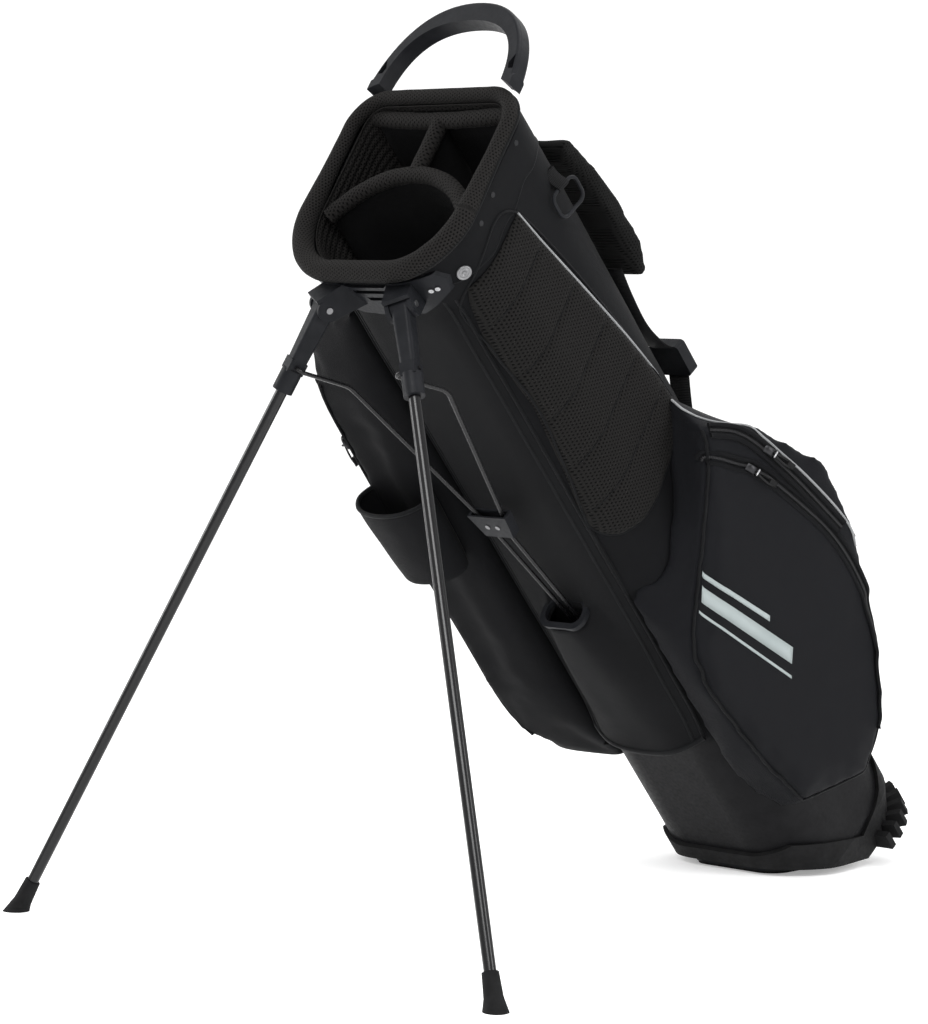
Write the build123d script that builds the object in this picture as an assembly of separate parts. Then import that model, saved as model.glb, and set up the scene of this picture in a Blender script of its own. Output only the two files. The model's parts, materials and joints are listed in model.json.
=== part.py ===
from build123d import *
import os
from math import cos, radians, sin

# Golf stand bag, leaning on its two deployed legs and its hinged foot plate.
#
# Everything is drawn in the bag frame and then placed: x across the bag, y towards its
# back (the strap side), z up the bag from the boot's flat bottom. place() leans that
# frame forward onto the ground: the part's own frame has +Z up, the legs towards -Y and
# its origin at the middle of the foot plate's ground face. Lengths are millimetres.

os.makedirs("parts", exist_ok=True)

# ---------------------------------------------------------------- driving dimensions
LEAN = 38.5                      # lean of the bag from upright, degrees

BODY_X = 98.0                    # half width of the fabric body
BODY_Y = 91.0                    # half depth of the fabric body
BODY_R = 58.0                    # corner radius of the fabric body
BODY_WALL = 2.0
BODY_BOTTOM = 250.0
BODY_TOP = 797.0

BOOT_WALL = 3.0
BOOT_TOP = 290.0
BOOT_FIT = 0.2                   # gap between the boot and the fabric body around it
FLOOR_Z = 112.0                  # underside of the floor that the clubs stand on
ROOM_X = 92.4                    # free half width inside boot and body
ROOM_Y = 85.4                    # free half depth inside boot and body
ROOM_R = 51.6
STAY_X = 72.0                    # four stays in the corners
STAY_Y = 62.0
STAY_R = 2.5

FOLD_Y = -6.3                    # where the boot's flat bottom meets the lean facet
PLATE_LENGTH = 106.0
PLATE_HALF_X = 58.0
PLATE_TOP = 6.0                  # foot plate's upper face above the ground
PAD_TOP = 2.5                    # rubber pad under the foot plate
PLATE_PIN_R = 2.0
PLATE_PIN_HEIGHT = 4.6

RIM_Y = -15.0                    # middle of the rim opening
RIM_Z = 890.0
RIM_TILT = 18.2                  # slope of the rim plane, degrees
RIM_HALF_X = 103.0               # centre line of the padded rim roll
RIM_FRONT = -102.0
RIM_BACK = 89.0
RIM_R = 66.0                     # front corners
RIM_BACK_R = 36.0                # back corners
RIM_ROLL = 11.0                  # radius of the padded rim roll
COLLAR_WALL = 4.0
COVER = 2.0                      # fabric over the moulded collar
BRACKET_WALL = 5.0

DIVIDER_ROLL = 8.0               # radius of the padded dividers
DIVIDER_DROP = 14.0              # dividers' centre lines below the rim plane
DIVIDER_LOW = FLOOR_Z + 6
DIVIDER_THICK = 1.6
BACK_DIVIDER_Y = 57.0
ARC_R = 115.0                    # front divider's arc

HANDLE_HALF = 8.5                # half thickness of the carry handle
HANDLE_RISE = 2.0                # its middle above the rim plane
HANDLE_EDGE = 3.5                # rounding of its inner and outer edges
HANDLE_TUCK = 3.4                # how far its legs lean in before the arch turns

HINGE = Vector(51.4, -127.0, 829.0)     # right leg hinge
SPLAY = 29.4                     # legs swing out this far either side of straight ahead
OPEN = 57.0                      # leg angle when deployed, from folded along the bag
LEG_LENGTH = 651.4               # hinge to ground along the leg
TUBE_R = 5.5
EYE_HALF = 9.0                   # half width of the knuckle in its housing
EYE_R = 9.5
PIN_R = 3.0
PIN_PLAY = 0.05
HOOK_AT = 62.0                   # wire hook below the hinge, along the leg
SOCKET_TOP = 66.0
SOCKET_END = 88.0
SOCKET_R = 9.8
FOOT_TOP = 34.0                  # rubber foot above the ground, along the leg

WIRE_R = 2.0
SWING = Vector(0.85957, 0.50886, -0.04688)    # axis that the right wire swings about
CLIP_MID = Vector(0, -122, 563)
GUIDE_Z = 432.0                  # mouth where both wires enter the bag
GUIDE_Y = -106.0
GUIDE_TILT = 22.0                # the mouth faces up and this far forward
ROD_R = 2.5
FOOT_ROD_Y = -54.0               # push rod above the foot plate
ROD_Y = -80.0                    # push rod behind the body's front wall
YOKE_Y = -100.0                  # push rod's head, in front of the wall
CLIP_RIVET_X = 6.5
CLIP_HALF = 5.6                  # half thickness of the wire clip

APPAREL_X = -166.0               # outer face of the apparel pocket
SLEEVE_MID = Vector(-118, -126, 500)    # bottom of the bottle sleeve
SLEEVE_HEIGHT = 90.0
RING_AT = Vector(105, 58, 822)   # towel ring's pivot
FACE_TURN = 15.64                # turn of the ball pocket's face about z, degrees
ZIP_FALL = 22.9                  # the zips run down and back at this angle
PULL_PIVOT = (8.4, 0, -3)        # pin of a zip pull, from the slider's middle on the face
PULL_PIN_R = 1.0

# ---------------------------------------------------------------- placing and helpers
FOOT_MID = 54.0                  # middle of the ground face, forward of the fold
ORIGIN = Vector(0, FOLD_Y - FOOT_MID * cos(radians(LEAN)), FOOT_MID * sin(radians(LEAN)))


def place(shape):
    """Move a shape from the bag frame into the part's own frame."""
    return Rot(LEAN, 0, 0) * (Pos(-ORIGIN.X, -ORIGIN.Y, -ORIGIN.Z) * shape)


def save(name, shape):
    solids = [place(solid) for solid in shape.solids()]
    whole = solids[0] if len(solids) == 1 else Compound(children=solids)
    export_step(whole, f"parts/{name}.step")


def largest(shape):
    return shape.solids().sort_by(SortBy.VOLUME)[-1]


def mirrored(shape):
    return mirror(shape, about=Plane.YZ)


def save_pair(name, right):
    save(f"{name}_right", right)
    save(f"{name}_left", mirrored(right))


def section(half_x, half_y, radius, z):
    return Pos(0, 0, z) * RectangleRounded(2 * half_x, 2 * half_y, radius)


def prism(half_x, half_y, radius, low, high):
    return extrude(section(half_x, half_y, radius, low), high - low)


def soft_rectangle(half_x, front, back, front_radius, back_radius):
    """Rectangle from y = front to y = back with its own corner radius at either end."""
    corners = [(half_x, front), (half_x, back), (-half_x, back), (-half_x, front)]
    flat = make_face(Polyline(*corners, close=True))
    flat = fillet(flat.vertices().sort_by(Axis.Y)[:2], front_radius)
    return fillet(flat.vertices().sort_by(Axis.Y)[-2:], back_radius)


def rim_shape(grow):
    return soft_rectangle(
        RIM_HALF_X + grow, RIM_FRONT - grow, RIM_BACK + grow, RIM_R + grow, RIM_BACK_R + grow
    )


def rim_section(grow, drop):
    """Outline of the rim opening, grown sideways and lowered along the rim's normal."""
    return RIM * Pos(0, 0, -drop) * rim_shape(grow)


def collar_solid(grow, base=BODY_TOP, drop=RIM_ROLL + 0.2):
    """Filled collar: body outline at the bottom, rim outline at the top."""
    half_x, half_y, radius = BODY_X + grow, BODY_Y + grow, BODY_R + grow
    low = Pos(0, 0, base) * soft_rectangle(half_x, -half_y, half_y, radius, radius)
    return loft([low, rim_section(grow, drop)], ruled=True)


def side_prism(points, x_low, x_high):
    """Prism across the bag from an outline of (y, z) points."""
    outline = Plane.YZ * make_face(Polyline(*points, close=True))
    return Pos(x_low, 0, 0) * extrude(outline, x_high - x_low, dir=(1, 0, 0))


def front_prism(points, y_low, y_high):
    """Prism along the bag's depth from an outline of (x, z) points."""
    outline = make_face(Polyline(*[(x, 0, z) for x, z in points], close=True))
    return Pos(0, y_low, 0) * extrude(outline, y_high - y_low, dir=(0, 1, 0))


def rod_along(points, radii, radius):
    """Round rod along straight runs joined by tangent arcs."""
    path = FilletPolyline(*points, radius=radii)
    start = Plane(origin=path @ 0, z_dir=path % 0)
    return sweep(start * Circle(radius), path=path)


def x_cylinder(radius, x_low, x_high):
    return Pos((x_low + x_high) / 2, 0, 0) * Rot(0, 90, 0) * Cylinder(radius, x_high - x_low)


RIM = Pos(0, RIM_Y, RIM_Z) * Rot(RIM_TILT, 0, 0)
GROUND = Pos(0, FOLD_Y, 0) * Rot(-LEAN, 0, 0)        # ground plane, forward is its -y
LEG_FOLDED = Pos(HINGE) * Rot(0, 0, SPLAY)           # x is the hinge axis, leg along -z
LEG_OPEN = LEG_FOLDED * Rot(-OPEN, 0, 0)
CLIP_FRAME = Location(Plane(origin=CLIP_MID, x_dir=(1, 0, 0), z_dir=(0, -0.995, -0.1)))
RIM_NORMAL = (0, -sin(radians(RIM_TILT)), cos(radians(RIM_TILT)))
BIG = 2000.0


def above_ground(height):
    return GROUND * Pos(0, 0, height + BIG / 2) * Box(BIG, BIG, BIG)


def below_ground(height):
    return GROUND * Pos(0, 0, height - BIG / 2) * Box(BIG, BIG, BIG)


def rim_height(y):
    """Height of the rim plane above the boot's bottom at depth y."""
    return RIM_Z + (y - RIM_Y) * sin(radians(RIM_TILT)) / cos(radians(RIM_TILT))


# ---------------------------------------------------------------- boot, sole and floor
def boot_form(grow):
    inside = BODY_X - BODY_WALL - BOOT_FIT + grow
    deep = BODY_Y - BODY_WALL - BOOT_FIT + grow
    return loft(
        [
            section(84 + grow, 78 + grow, 48 + grow, 8 - min(grow, 0)),
            section(97 + grow, 90 + grow, 57 + grow, 46),
            section(inside, deep, BODY_R - BODY_WALL - BOOT_FIT + grow, 120),
            section(inside, deep, BODY_R - BODY_WALL - BOOT_FIT + grow, BOOT_TOP),
        ],
        ruled=True,
    )


def make_boot():
    shell = boot_form(0) & above_ground(7.2)
    hollow = boot_form(-BOOT_WALL) & above_ground(7.2 + BOOT_WALL)
    rod_hole = Pos(0, FOOT_ROD_Y, 60) * Cylinder(4.5, 60)
    lug = GROUND * (
        Pos(0, 0, PLATE_PIN_HEIGHT) * x_cylinder(4.2, -19.5, 19.5)
        + Pos(0, 0, PLATE_PIN_HEIGHT + 4) * Box(39, 8, 8)
    )
    pin_hole = GROUND * Pos(0, 0, PLATE_PIN_HEIGHT) * x_cylinder(PLATE_PIN_R, -60, 60)
    return shell - hollow + lug - rod_hole - pin_hole


def make_sole():
    """Rubber band round the boot's foot, with a tread of blocks round its back."""
    outer = loft([section(86, 80, 50, 0), section(101, 94, 61, 46)], ruled=True)
    outer += prism(101, 94, 61, 46, 96)
    band = (outer & above_ground(7.2)) - boot_form(0)
    rising = [(-160, -10), (-160, 22), (-6, 30), (50, 56), (94, 92), (130, 92), (130, -10)]
    band = band & (below_ground(34) + side_prism(rising, -120, 120))
    behind_hinge = Pos(0, BIG / 2 + 4, 0) * Box(BIG, BIG, BIG)
    pad = prism(84, 78, 48, 0, 8) & behind_hinge
    sole = band + pad
    edge = RectangleRounded(2 * 95, 2 * 89, 56).face().outer_wire()
    count = 44
    for i in range(count):
        at = edge.position_at(i / count)
        along = edge.tangent_at(i / count)
        if at.Y < 14:
            continue
        block = Plane(origin=(at.X, at.Y, 9), x_dir=along, z_dir=(0, 0, 1)) * Box(7, 24, 18)
        sole += block - boot_form(0)
    hinge_zone = Pos(0, 0, PLATE_PIN_HEIGHT) * x_cylinder(6, -60, 60) + Pos(0, 0, 8) * Box(42, 12, 16)
    return sole - GROUND * hinge_zone


def make_floor():
    slot = Pos(0, -BODY_Y, FLOOR_Z) * Box(24, 94, 20)
    return prism(ROOM_X, ROOM_Y, ROOM_R, FLOOR_Z, FLOOR_Z + 4) - slot


# ---------------------------------------------------------------- foot plate
def ground_slab(half_x, back, front, low, high, radius):
    flat = Pos(0, -(back + front) / 2, low) * RectangleRounded(2 * half_x, front - back, radius)
    return GROUND * extrude(flat, high - low)


def make_foot_plate():
    plate = ground_slab(PLATE_HALF_X, 6, PLATE_LENGTH, PAD_TOP, PLATE_TOP, 24)
    for x in (-35, 35):
        knuckle = Pos(x, 0, PLATE_PIN_HEIGHT) * x_cylinder(3.9, -15, 15)
        arm = Pos(x, -5, (PAD_TOP + PLATE_TOP) / 2) * Box(30, 10, PLATE_TOP - PAD_TOP)
        plate += GROUND * (knuckle + arm)
    for x in (-30, -15, 0, 15, 30):
        rib = Pos(x, -PLATE_LENGTH + 4, PLATE_TOP) * Box(3, 7, 2)
        plate += GROUND * rib
    hole = Pos(0, 0, PLATE_PIN_HEIGHT) * x_cylinder(PLATE_PIN_R + PIN_PLAY, -60, 60)
    return plate - GROUND * hole


def make_foot_pad():
    pad = ground_slab(PLATE_HALF_X - 2, 8, PLATE_LENGTH - 2, 0, PAD_TOP, 22)
    for step in range(7):
        groove = Pos(0, -(20 + 12 * step), 0) * Box(96, 3, 2)
        pad -= GROUND * groove
    return pad


def make_foot_pin():
    return GROUND * (Pos(0, 0, PLATE_PIN_HEIGHT) * x_cylinder(PLATE_PIN_R, -52, 52))


# ---------------------------------------------------------------- fabric body and stays
def make_body():
    outer = prism(BODY_X, BODY_Y, BODY_R, BODY_BOTTOM, BODY_TOP)
    inner = prism(
        BODY_X - BODY_WALL, BODY_Y - BODY_WALL, BODY_R - BODY_WALL, BODY_BOTTOM, BODY_TOP
    )
    rod_slot = Pos(0, -BODY_Y, (BOOT_TOP + 386) / 2) * Box(11, 20, 386 - BOOT_TOP)
    return outer - inner - rod_slot


def make_stays():
    """Four thin rods that hold the fabric body up between floor and collar."""
    low = FLOOR_Z + 4
    rods = Part()
    for x in (-STAY_X, STAY_X):
        for y in (-STAY_Y, STAY_Y):
            rods += Pos(x, y, (low + BODY_TOP) / 2) * Cylinder(STAY_R, BODY_TOP - low)
    return rods


def make_front_cover():
    """Channel on the body's front in which the wires meet the push rod."""
    outer = [(-BODY_Y, 252), (-97, 252), (-100, 300), (-112, 350), (-114, 432), (-BODY_Y, 432)]
    inner = [(-BODY_Y, 255), (-95, 255), (-98, 301), (-110, 351), (-112, 430), (-BODY_Y, 430)]
    shell = side_prism(outer, -46, 46) - side_prism(inner, -44, 44)
    mouth = Pos(0, -102, 431) * Box(52, 18, 12)
    above_guide = Pos(0, GUIDE_Y, GUIDE_Z) * Rot(GUIDE_TILT, 0, 0) * Pos(0, 0, 47.4) * Box(200, 60, 100)
    return shell - mouth - above_guide


def guide_plate(half_x, half_y, middle, radius, half_thick):
    """Rounded plate in the sloping plane of the wire guide."""
    plate = extrude(RectangleRounded(2 * half_x, 2 * half_y, radius), half_thick, both=True)
    return Pos(0, GUIDE_Y, GUIDE_Z) * Rot(GUIDE_TILT, 0, 0) * Pos(0, middle, 0) * plate


def make_wire_guide():
    """Oval ring on top of the channel, that both wires run through."""
    ring = guide_plate(29, 16, 0, 14, 2.5) - guide_plate(23.2, 11.2, 1.2, 10, 20)
    behind = Pos(0, -BODY_Y + 50, GUIDE_Z) * Box(100, 100, 60)
    return ring - behind


# ---------------------------------------------------------------- collar, rim, dividers
def make_collar():
    return collar_solid(0) - collar_solid(-COLLAR_WALL, BODY_TOP - 1, RIM_ROLL - 1)


def cover_region():
    return side_prism([(-160, 815), (160, 880), (160, 1000), (-160, 1000)], -200, 200)


def make_collar_cover():
    return (cover_block() & cover_region()) - collar_solid(0)


def rim_roll(radius):
    path = rim_section(0, 0).face().outer_wire()
    start = Plane(origin=path @ 0, z_dir=path % 0)
    return sweep(start * Circle(radius), path=path)


def inside_collar(shape):
    """Trim a divider to the space inside the body, collar and rim roll."""
    room = prism(ROOM_X, ROOM_Y, ROOM_R, DIVIDER_LOW, BODY_TOP)
    room += collar_solid(-COLLAR_WALL - 0.4, BODY_TOP, RIM_ROLL + 0.4)
    room += extrude(rim_section(-RIM_ROLL - 0.4, RIM_ROLL + 0.6), 30, dir=RIM_NORMAL)
    return shape & room


def roll_along(path, radius=DIVIDER_ROLL):
    """Padded roll round a path below the rim plane."""
    start = Plane(origin=path @ 0, z_dir=path % 0)
    return sweep(start * Circle(radius), path=path)


def on_rim(x, y, drop=DIVIDER_DROP):
    return (x, y, rim_height(y) - drop)


def arc_depth(x):
    return -1.0 - (ARC_R - (ARC_R**2 - x**2) ** 0.5)


def back_path():
    return Line(on_rim(-96, BACK_DIVIDER_Y), on_rim(96, BACK_DIVIDER_Y))


def arc_path():
    return ThreePointArc(on_rim(-92, arc_depth(92)), on_rim(0, -1), on_rim(92, arc_depth(92)))


def make_centre_divider():
    roll = inside_collar(roll_along(Line(on_rim(0, 0), on_rim(0, BACK_DIVIDER_Y))))
    return roll - roll_along(arc_path(), DIVIDER_ROLL + 0.1) - roll_along(back_path(), DIVIDER_ROLL + 0.1)


def sheet(points, thick=DIVIDER_THICK):
    """Upright fabric sheet over a plan line, from the floor to the dividers' rolls."""
    line = Polyline(*points) if len(points) > 2 else Line(*points)
    plan = offset(line, amount=thick / 2, side=Side.BOTH)
    wall = Pos(0, 0, DIVIDER_LOW) * extrude(make_face(plan), 900)
    below_rolls = side_prism(
        [
            (-150, 100),
            (150, 100),
            (150, rim_height(150) - DIVIDER_DROP - DIVIDER_ROLL - 0.6),
            (-150, rim_height(-150) - DIVIDER_DROP - DIVIDER_ROLL - 0.6),
        ],
        -150,
        150,
    )
    return inside_collar(wall & below_rolls)


def arc_points(half_x, count):
    xs = [half_x * (2 * i / count - 1) for i in range(count + 1)]
    return [(x, arc_depth(x)) for x in xs]


# ---------------------------------------------------------------- handle
def handle_outline(half, root, crown, shoulder, reach):
    """Arch in the rim plane: upright legs up to root, closed by a curve up to crown."""
    return make_face(
        [
            Polyline((-half, root), (-half, 30), (half, 30), (half, root)),
            Bezier((half, root), (half - HANDLE_TUCK, shoulder), (reach, crown), (0, crown)),
            Bezier((0, crown), (-reach, crown), (HANDLE_TUCK - half, shoulder), (-half, root)),
        ]
    )


def make_handle():
    handle = extrude(handle_outline(93.1, 105, 187.8, 121.8, 77.5), HANDLE_HALF, both=True)
    handle -= extrude(handle_outline(80.1, 95.7, 166.6, 152.2, 41.2), 20, both=True)
    handle = Pos(0, 0, HANDLE_RISE) * handle
    handle -= extrude(rim_shape(RIM_ROLL + 0.2), 40, both=True)
    handle = largest(handle)
    handle = fillet(handle.edges().filter_by(GeomType.BEZIER), HANDLE_EDGE)
    for side in (-1, 1):
        corners = [(side * x, v) for x, v in ((88.5, 110), (84.5, 126), (80, 116), (82.5, 110))]
        handle -= extrude(make_face(Polyline(*corners, close=True)), 40, both=True)
    return RIM * handle


# ---------------------------------------------------------------- stand bracket
BRACKET_OUTLINE = [
    (0, 840), (22, 840), (34, 847), (80, 847), (85, 836), (80, 821), (62, 810), (40, 800),
    (16, 797), (0, 797),
]


def make_bracket():
    whole = BRACKET_OUTLINE + [(-x, z) for x, z in reversed(BRACKET_OUTLINE[1:-1])]
    plate = (bracket_block() - bracket_back()) & front_prism(whole, -160, -20)
    for z, wide in ((833, 46), (822, 28), (811, 11)):
        plate -= Pos(0, -110, z) * Box(wide, 60, 5)
    housing = make_housing()
    return (plate + housing + mirrored(housing)) - rim_roll(RIM_ROLL + 0.3)


def bracket_back():
    return collar_solid(COVER, BODY_TOP - 3, 1)


def make_housing():
    """Two cheeks and a roof that hold one leg's hinge pin."""
    reach = 40
    side = [(0, 11), (reach, 16), (reach, -16), (0, -11)]
    housing = Part()
    for x in (-EYE_HALF - 4.4, EYE_HALF + 0.4):
        cheek = side_prism(side, x, x + 4)
        cheek += Pos(x, 0, 0) * x_cylinder(11, 0, 4)
        housing += cheek
    roof = Pos(0, reach / 2 - 3, 13) * Box(2 * EYE_HALF + 8.8, reach + 6, 4)
    housing += roof
    housing -= x_cylinder(PIN_R, -20, 20)
    housed = LEG_FOLDED * housing
    return housed - bracket_back() - prism(BODY_X, BODY_Y + 2, BODY_R, 700, BODY_TOP)


def make_hinge_pin():
    return LEG_FOLDED * x_cylinder(PIN_R, -EYE_HALF - 5.4, EYE_HALF + 5.4)


# ---------------------------------------------------------------- legs
def make_knuckle():
    eye = x_cylinder(EYE_R, -EYE_HALF, EYE_HALF)
    neck = loft(
        [
            Pos(0, 0, -HOOK_AT + 4) * RectangleRounded(15, 16, 4),
            RectangleRounded(2 * EYE_HALF, 2 * EYE_R, 4),
        ]
    )
    boss = Pos(0, 0, -HOOK_AT) * Box(15, 17, 12)
    socket = Pos(0, 0, -(SOCKET_TOP + SOCKET_END) / 2) * Cylinder(
        SOCKET_R, SOCKET_END - SOCKET_TOP
    )
    knuckle = eye + neck + boss + socket
    knuckle -= x_cylinder(PIN_R + PIN_PLAY, -20, 20)
    knuckle -= Pos(0, 0, -SOCKET_TOP - 20) * Cylinder(TUBE_R, 37)
    hook_hole = Plane(origin=hook_point(0), z_dir=SWING) * Cylinder(WIRE_R + PIN_PLAY, 40)
    return LEG_OPEN * knuckle - hook_hole


def make_leg_tube():
    top = SOCKET_TOP + 1.5
    low = LEG_LENGTH - 6
    tube = Pos(0, 0, -(top + low) / 2) * Cylinder(TUBE_R, low - top)
    bore = Pos(0, 0, -(top + low) / 2) * Cylinder(TUBE_R - 1, low - top - 2)
    return LEG_OPEN * (tube - bore)


def make_leg_foot():
    top = LEG_LENGTH - FOOT_TOP
    flare = LEG_LENGTH - 12
    upper = Pos(0, 0, -(top + flare) / 2) * Cone(8.6, 7.4, flare - top)
    lower = Pos(0, 0, -(flare + LEG_LENGTH + 12) / 2) * Cone(14, 8.6, 24)
    foot = upper + lower - Pos(0, 0, -(LEG_LENGTH - 26)) * Cylinder(TUBE_R, 40)
    return (LEG_OPEN * foot) & above_ground(0)


# ---------------------------------------------------------------- wires, clip, push rod
def hook_point(along_axis):
    """Point on the axis that the right wire's hook turns about."""
    middle = LEG_OPEN * Pos(0, 0, -HOOK_AT)
    return Vector(middle.position) + SWING * along_axis


WIRE_BEND = hook_point(0) + Vector(-12, 31.6, -51.6)


def make_wire():
    route = [
        hook_point(9),
        hook_point(-18),
        WIRE_BEND,
        Vector(18, -123.5, 578),
        Vector(9, -120.5, 548),
        Vector(6, YOKE_Y, GUIDE_Z),
        Vector(5.6, -95.5, 404),
    ]
    return rod_along(route, [5, 24, 30, 30, 30], WIRE_R)


def make_clip():
    outer = make_face(Polyline((-25, 13.5), (25, 13.5), (18, -13.5), (-18, -13.5), close=True))
    room = make_face(Polyline((-22, 14), (22, 14), (15, -14), (-15, -14), close=True))
    clip = extrude(outer, CLIP_HALF, both=True)
    clip -= extrude(room, CLIP_HALF - 1.8, both=True)
    for x in (-CLIP_RIVET_X, CLIP_RIVET_X):
        clip -= Pos(x, 0, 0) * Cylinder(1.8, 20)
    return CLIP_FRAME * clip


def make_clip_rivets():
    rivets = Part()
    for x in (-CLIP_RIVET_X, CLIP_RIVET_X):
        rivet = Cylinder(1.8, 2 * CLIP_HALF)
        for z in (-CLIP_HALF - 0.4, CLIP_HALF + 0.4):
            rivet += Pos(0, 0, z) * Cylinder(2.6, 0.8)
        rivets += CLIP_FRAME * (Pos(x, 0, 0) * rivet)
    return rivets


def make_push_rod():
    route = [
        (0, YOKE_Y, 396),
        (0, YOKE_Y, 370),
        (0, ROD_Y, 338),
        (0, ROD_Y, 130),
        (0, FOOT_ROD_Y, 100),
        (0, FOOT_ROD_Y, 49),
    ]
    rod = rod_along([Vector(*p) for p in route], [15, 15, 15, 15], ROD_R)
    head = Pos(0, YOKE_Y - 5.6, 393) * Box(44, 3, 14) + Pos(0, YOKE_Y - 2, 393) * Box(5, 8, 12)
    return rod + head


def make_rod_guides():
    guides = Part()
    for z in (150, 236):
        block = Pos(0, ROD_Y, z) * Box(24, 11, 10)
        block -= Pos(0, ROD_Y, z) * Cylinder(ROD_R + PIN_PLAY, 20)
        guides += block - boot_wall_zone()
    return guides


def boot_wall_zone():
    return Pos(0, -BODY_Y, 200) * Box(100, 2 * (BODY_WALL + BOOT_FIT + BOOT_WALL), 300)


# ---------------------------------------------------------------- pockets and pads
def face_x(y):
    """Outer face of the ball pocket: it stands further out towards the back."""
    return 120 + 0.28 * (y + 80)


BALL_BASE = [
    (62, 585), (-5, 500), (-92, 440), (-92, 330), (-90, 215), (-66, 140), (5, 112), (60, 150),
    (90, 230), (98, 330), (98, 420), (92, 500),
]
BALL_FACE = [
    (29, 559), (-20, 468), (-77, 383), (-91, 320), (-80, 240), (-63, 150), (11, 122), (54, 157),
    (89, 234), (120, 345), (126, 437), (77, 528),
]
APPAREL_BASE = [
    (-92, 790), (-92, 700), (-92, 500), (-92, 300), (-90, 235), (-70, 190), (-20, 160),
    (40, 150), (85, 180), (88, 400), (88, 700), (60, 790),
]
APPAREL_FACE = [
    (-92, 765), (-118, 712), (-126, 560), (-127, 330), (-118, 255), (-88, 205), (-30, 175),
    (30, 170), (60, 200), (70, 400), (66, 690), (30, 765),
]


def body_block():
    """Everything that the pockets are sewn onto, as one filled block."""
    block = prism(BODY_X, BODY_Y, BODY_R, BODY_BOTTOM, BODY_TOP)
    block += boot_form(0)
    block += prism(101, 94, 61, 0, 46)
    return block


def lofted_pocket(base, base_x, face, face_at):
    near = make_face(Polyline(*[(base_x, y, z) for y, z in base], close=True))
    far = make_face(Polyline(*[(face_at(y), y, z) for y, z in face], close=True))
    return loft([near, far], ruled=True) - body_block()


def make_ball_pocket():
    return largest(lofted_pocket(BALL_BASE, 80, BALL_FACE, face_x))


def make_apparel_pocket():
    return largest(lofted_pocket(APPAREL_BASE, -78, APPAREL_FACE, lambda y: APPAREL_X))


def make_bottle_sleeve():
    """Open fabric cup on the apparel pocket's front corner."""
    outer = Pos(SLEEVE_MID) * extrude(Ellipse(45, 27), SLEEVE_HEIGHT)
    inner = Pos(SLEEVE_MID) * Pos(0, 0, 2) * extrude(Ellipse(43, 25), SLEEVE_HEIGHT)
    return largest(outer - inner - make_apparel_pocket())


def make_hip_pad():
    outline = [(-78, 812), (-2, 824), (-2, 794), (58, 600), (58, 570), (20, 536), (-50, 512),
               (-72, 512)]
    pad = side_prism(outline, 60, BODY_X + 9)
    return largest(pad - body_block() - collar_solid(COVER + 0.1) - make_ball_pocket())


def make_shoulder_pad():
    """Padded half of the shoulder strap, bowed away from the bag's back."""
    profile = [
        (93, 838), (106, 842), (121, 800), (129, 750), (127, 700), (115, 672), (104, 676),
        (111, 705), (113, 750), (106, 796),
    ]
    return side_prism(profile, 30, 86)


def make_strap_webbing():
    profile = [
        (107.8, 673), (110, 673), (118, 590), (113, 552), (93.2, 516), (91.2, 517), (111, 553),
        (115.8, 590),
    ]
    return side_prism(profile, 46, 72) - strap_buckle_zone()


def strap_buckle_zone():
    return Pos(59, 115, 570) * Box(40, 16, 38)


def make_strap_buckle():
    frame = Pos(59, 115, 570) * Box(38, 12, 36)
    return fillet(frame.edges().filter_by(Axis.Y), 4)


def make_front_loop():
    """Webbing tab sewn on low at the front."""
    return Pos(-62, -99, 172) * Box(24, 12, 44) - body_block() - make_apparel_pocket()


def make_strap_anchor():
    """Moulded plate on the bag's back between the tops of both shoulder pads."""
    return Pos(0, 95, 815) * Box(59, 8, 24) - body_block() - collar_solid(COVER + 0.1)


# ---------------------------------------------------------------- small hardware
# Places on one side of the collar: x, y, z and the way out from the skin, in degrees.
COLLAR_RIVETS = [(103.5, -45, 860, 0), (105.5, -18, 871, 0), (104.5, 34, 889, 0)]
COLLAR_SCREWS = [(91, -78, 830.5, -48)]
BRACKET_RIVETS = [(67, -98, 829, -72), (73, -97, 829, -66)]


def cover_block(grow=0.0):
    return collar_solid(COVER + grow, BODY_TOP, RIM_ROLL + 0.4)


def bracket_block(grow=0.0):
    return collar_solid(COVER + BRACKET_WALL + grow, BODY_TOP - 2, 2)


def heads(spots, radius, skin):
    """Rivet or screw heads on both sides: round patches of a thin skin on the collar."""
    row = Part()
    for x, y, z, turn in spots:
        row += Pos(x, y, z) * Rot(0, 0, turn) * Rot(0, 90, 0) * Cylinder(radius, 60) & skin
    return row + mirrored(row)


def make_towel_ring():
    path = Pos(0, 0, -13) * (Plane.YZ * RectangleRounded(36, 26, 8))
    wire = path.face().outer_wire()
    start = Plane(origin=wire @ 0, z_dir=wire % 0)
    return Pos(RING_AT) * sweep(start * Circle(1.8), path=wire)


def make_towel_tab():
    loop = Rot(90, 0, 0) * Cylinder(3.8, 15)
    strap = Pos(-4.5, 0, 9) * Box(4, 15, 18)
    tab = loop + strap - Rot(90, 0, 0) * Cylinder(1.9, 30)
    return Pos(RING_AT) * tab - collar_solid(COVER, BODY_TOP, 2) - body_block()


# ---------------------------------------------------------------- zips
def zip_frame(y, z, fall):
    """Frame on the ball pocket's face: x stands out of it, z runs up the zip."""
    return Pos(face_x(y), y, z) * Rot(0, 0, -FACE_TURN) * Rot(fall, 0, 0)


def pull_pivot(radius, length):
    return Pos(*PULL_PIVOT) * Rot(90, 0, 0) * Cylinder(radius, length)


def make_slider():
    """Zip slider with two lugs and a round pin that the pull hangs from."""
    body = Pos(3.2, 0, 0) * Box(5, 9, 14)
    lugs = Pos(6.8, 0, -3) * Box(3.2, 9, 4) + pull_pivot(2, 9) - pull_pivot(2.8, 6)
    return body + lugs + pull_pivot(PULL_PIN_R, 8)


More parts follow.
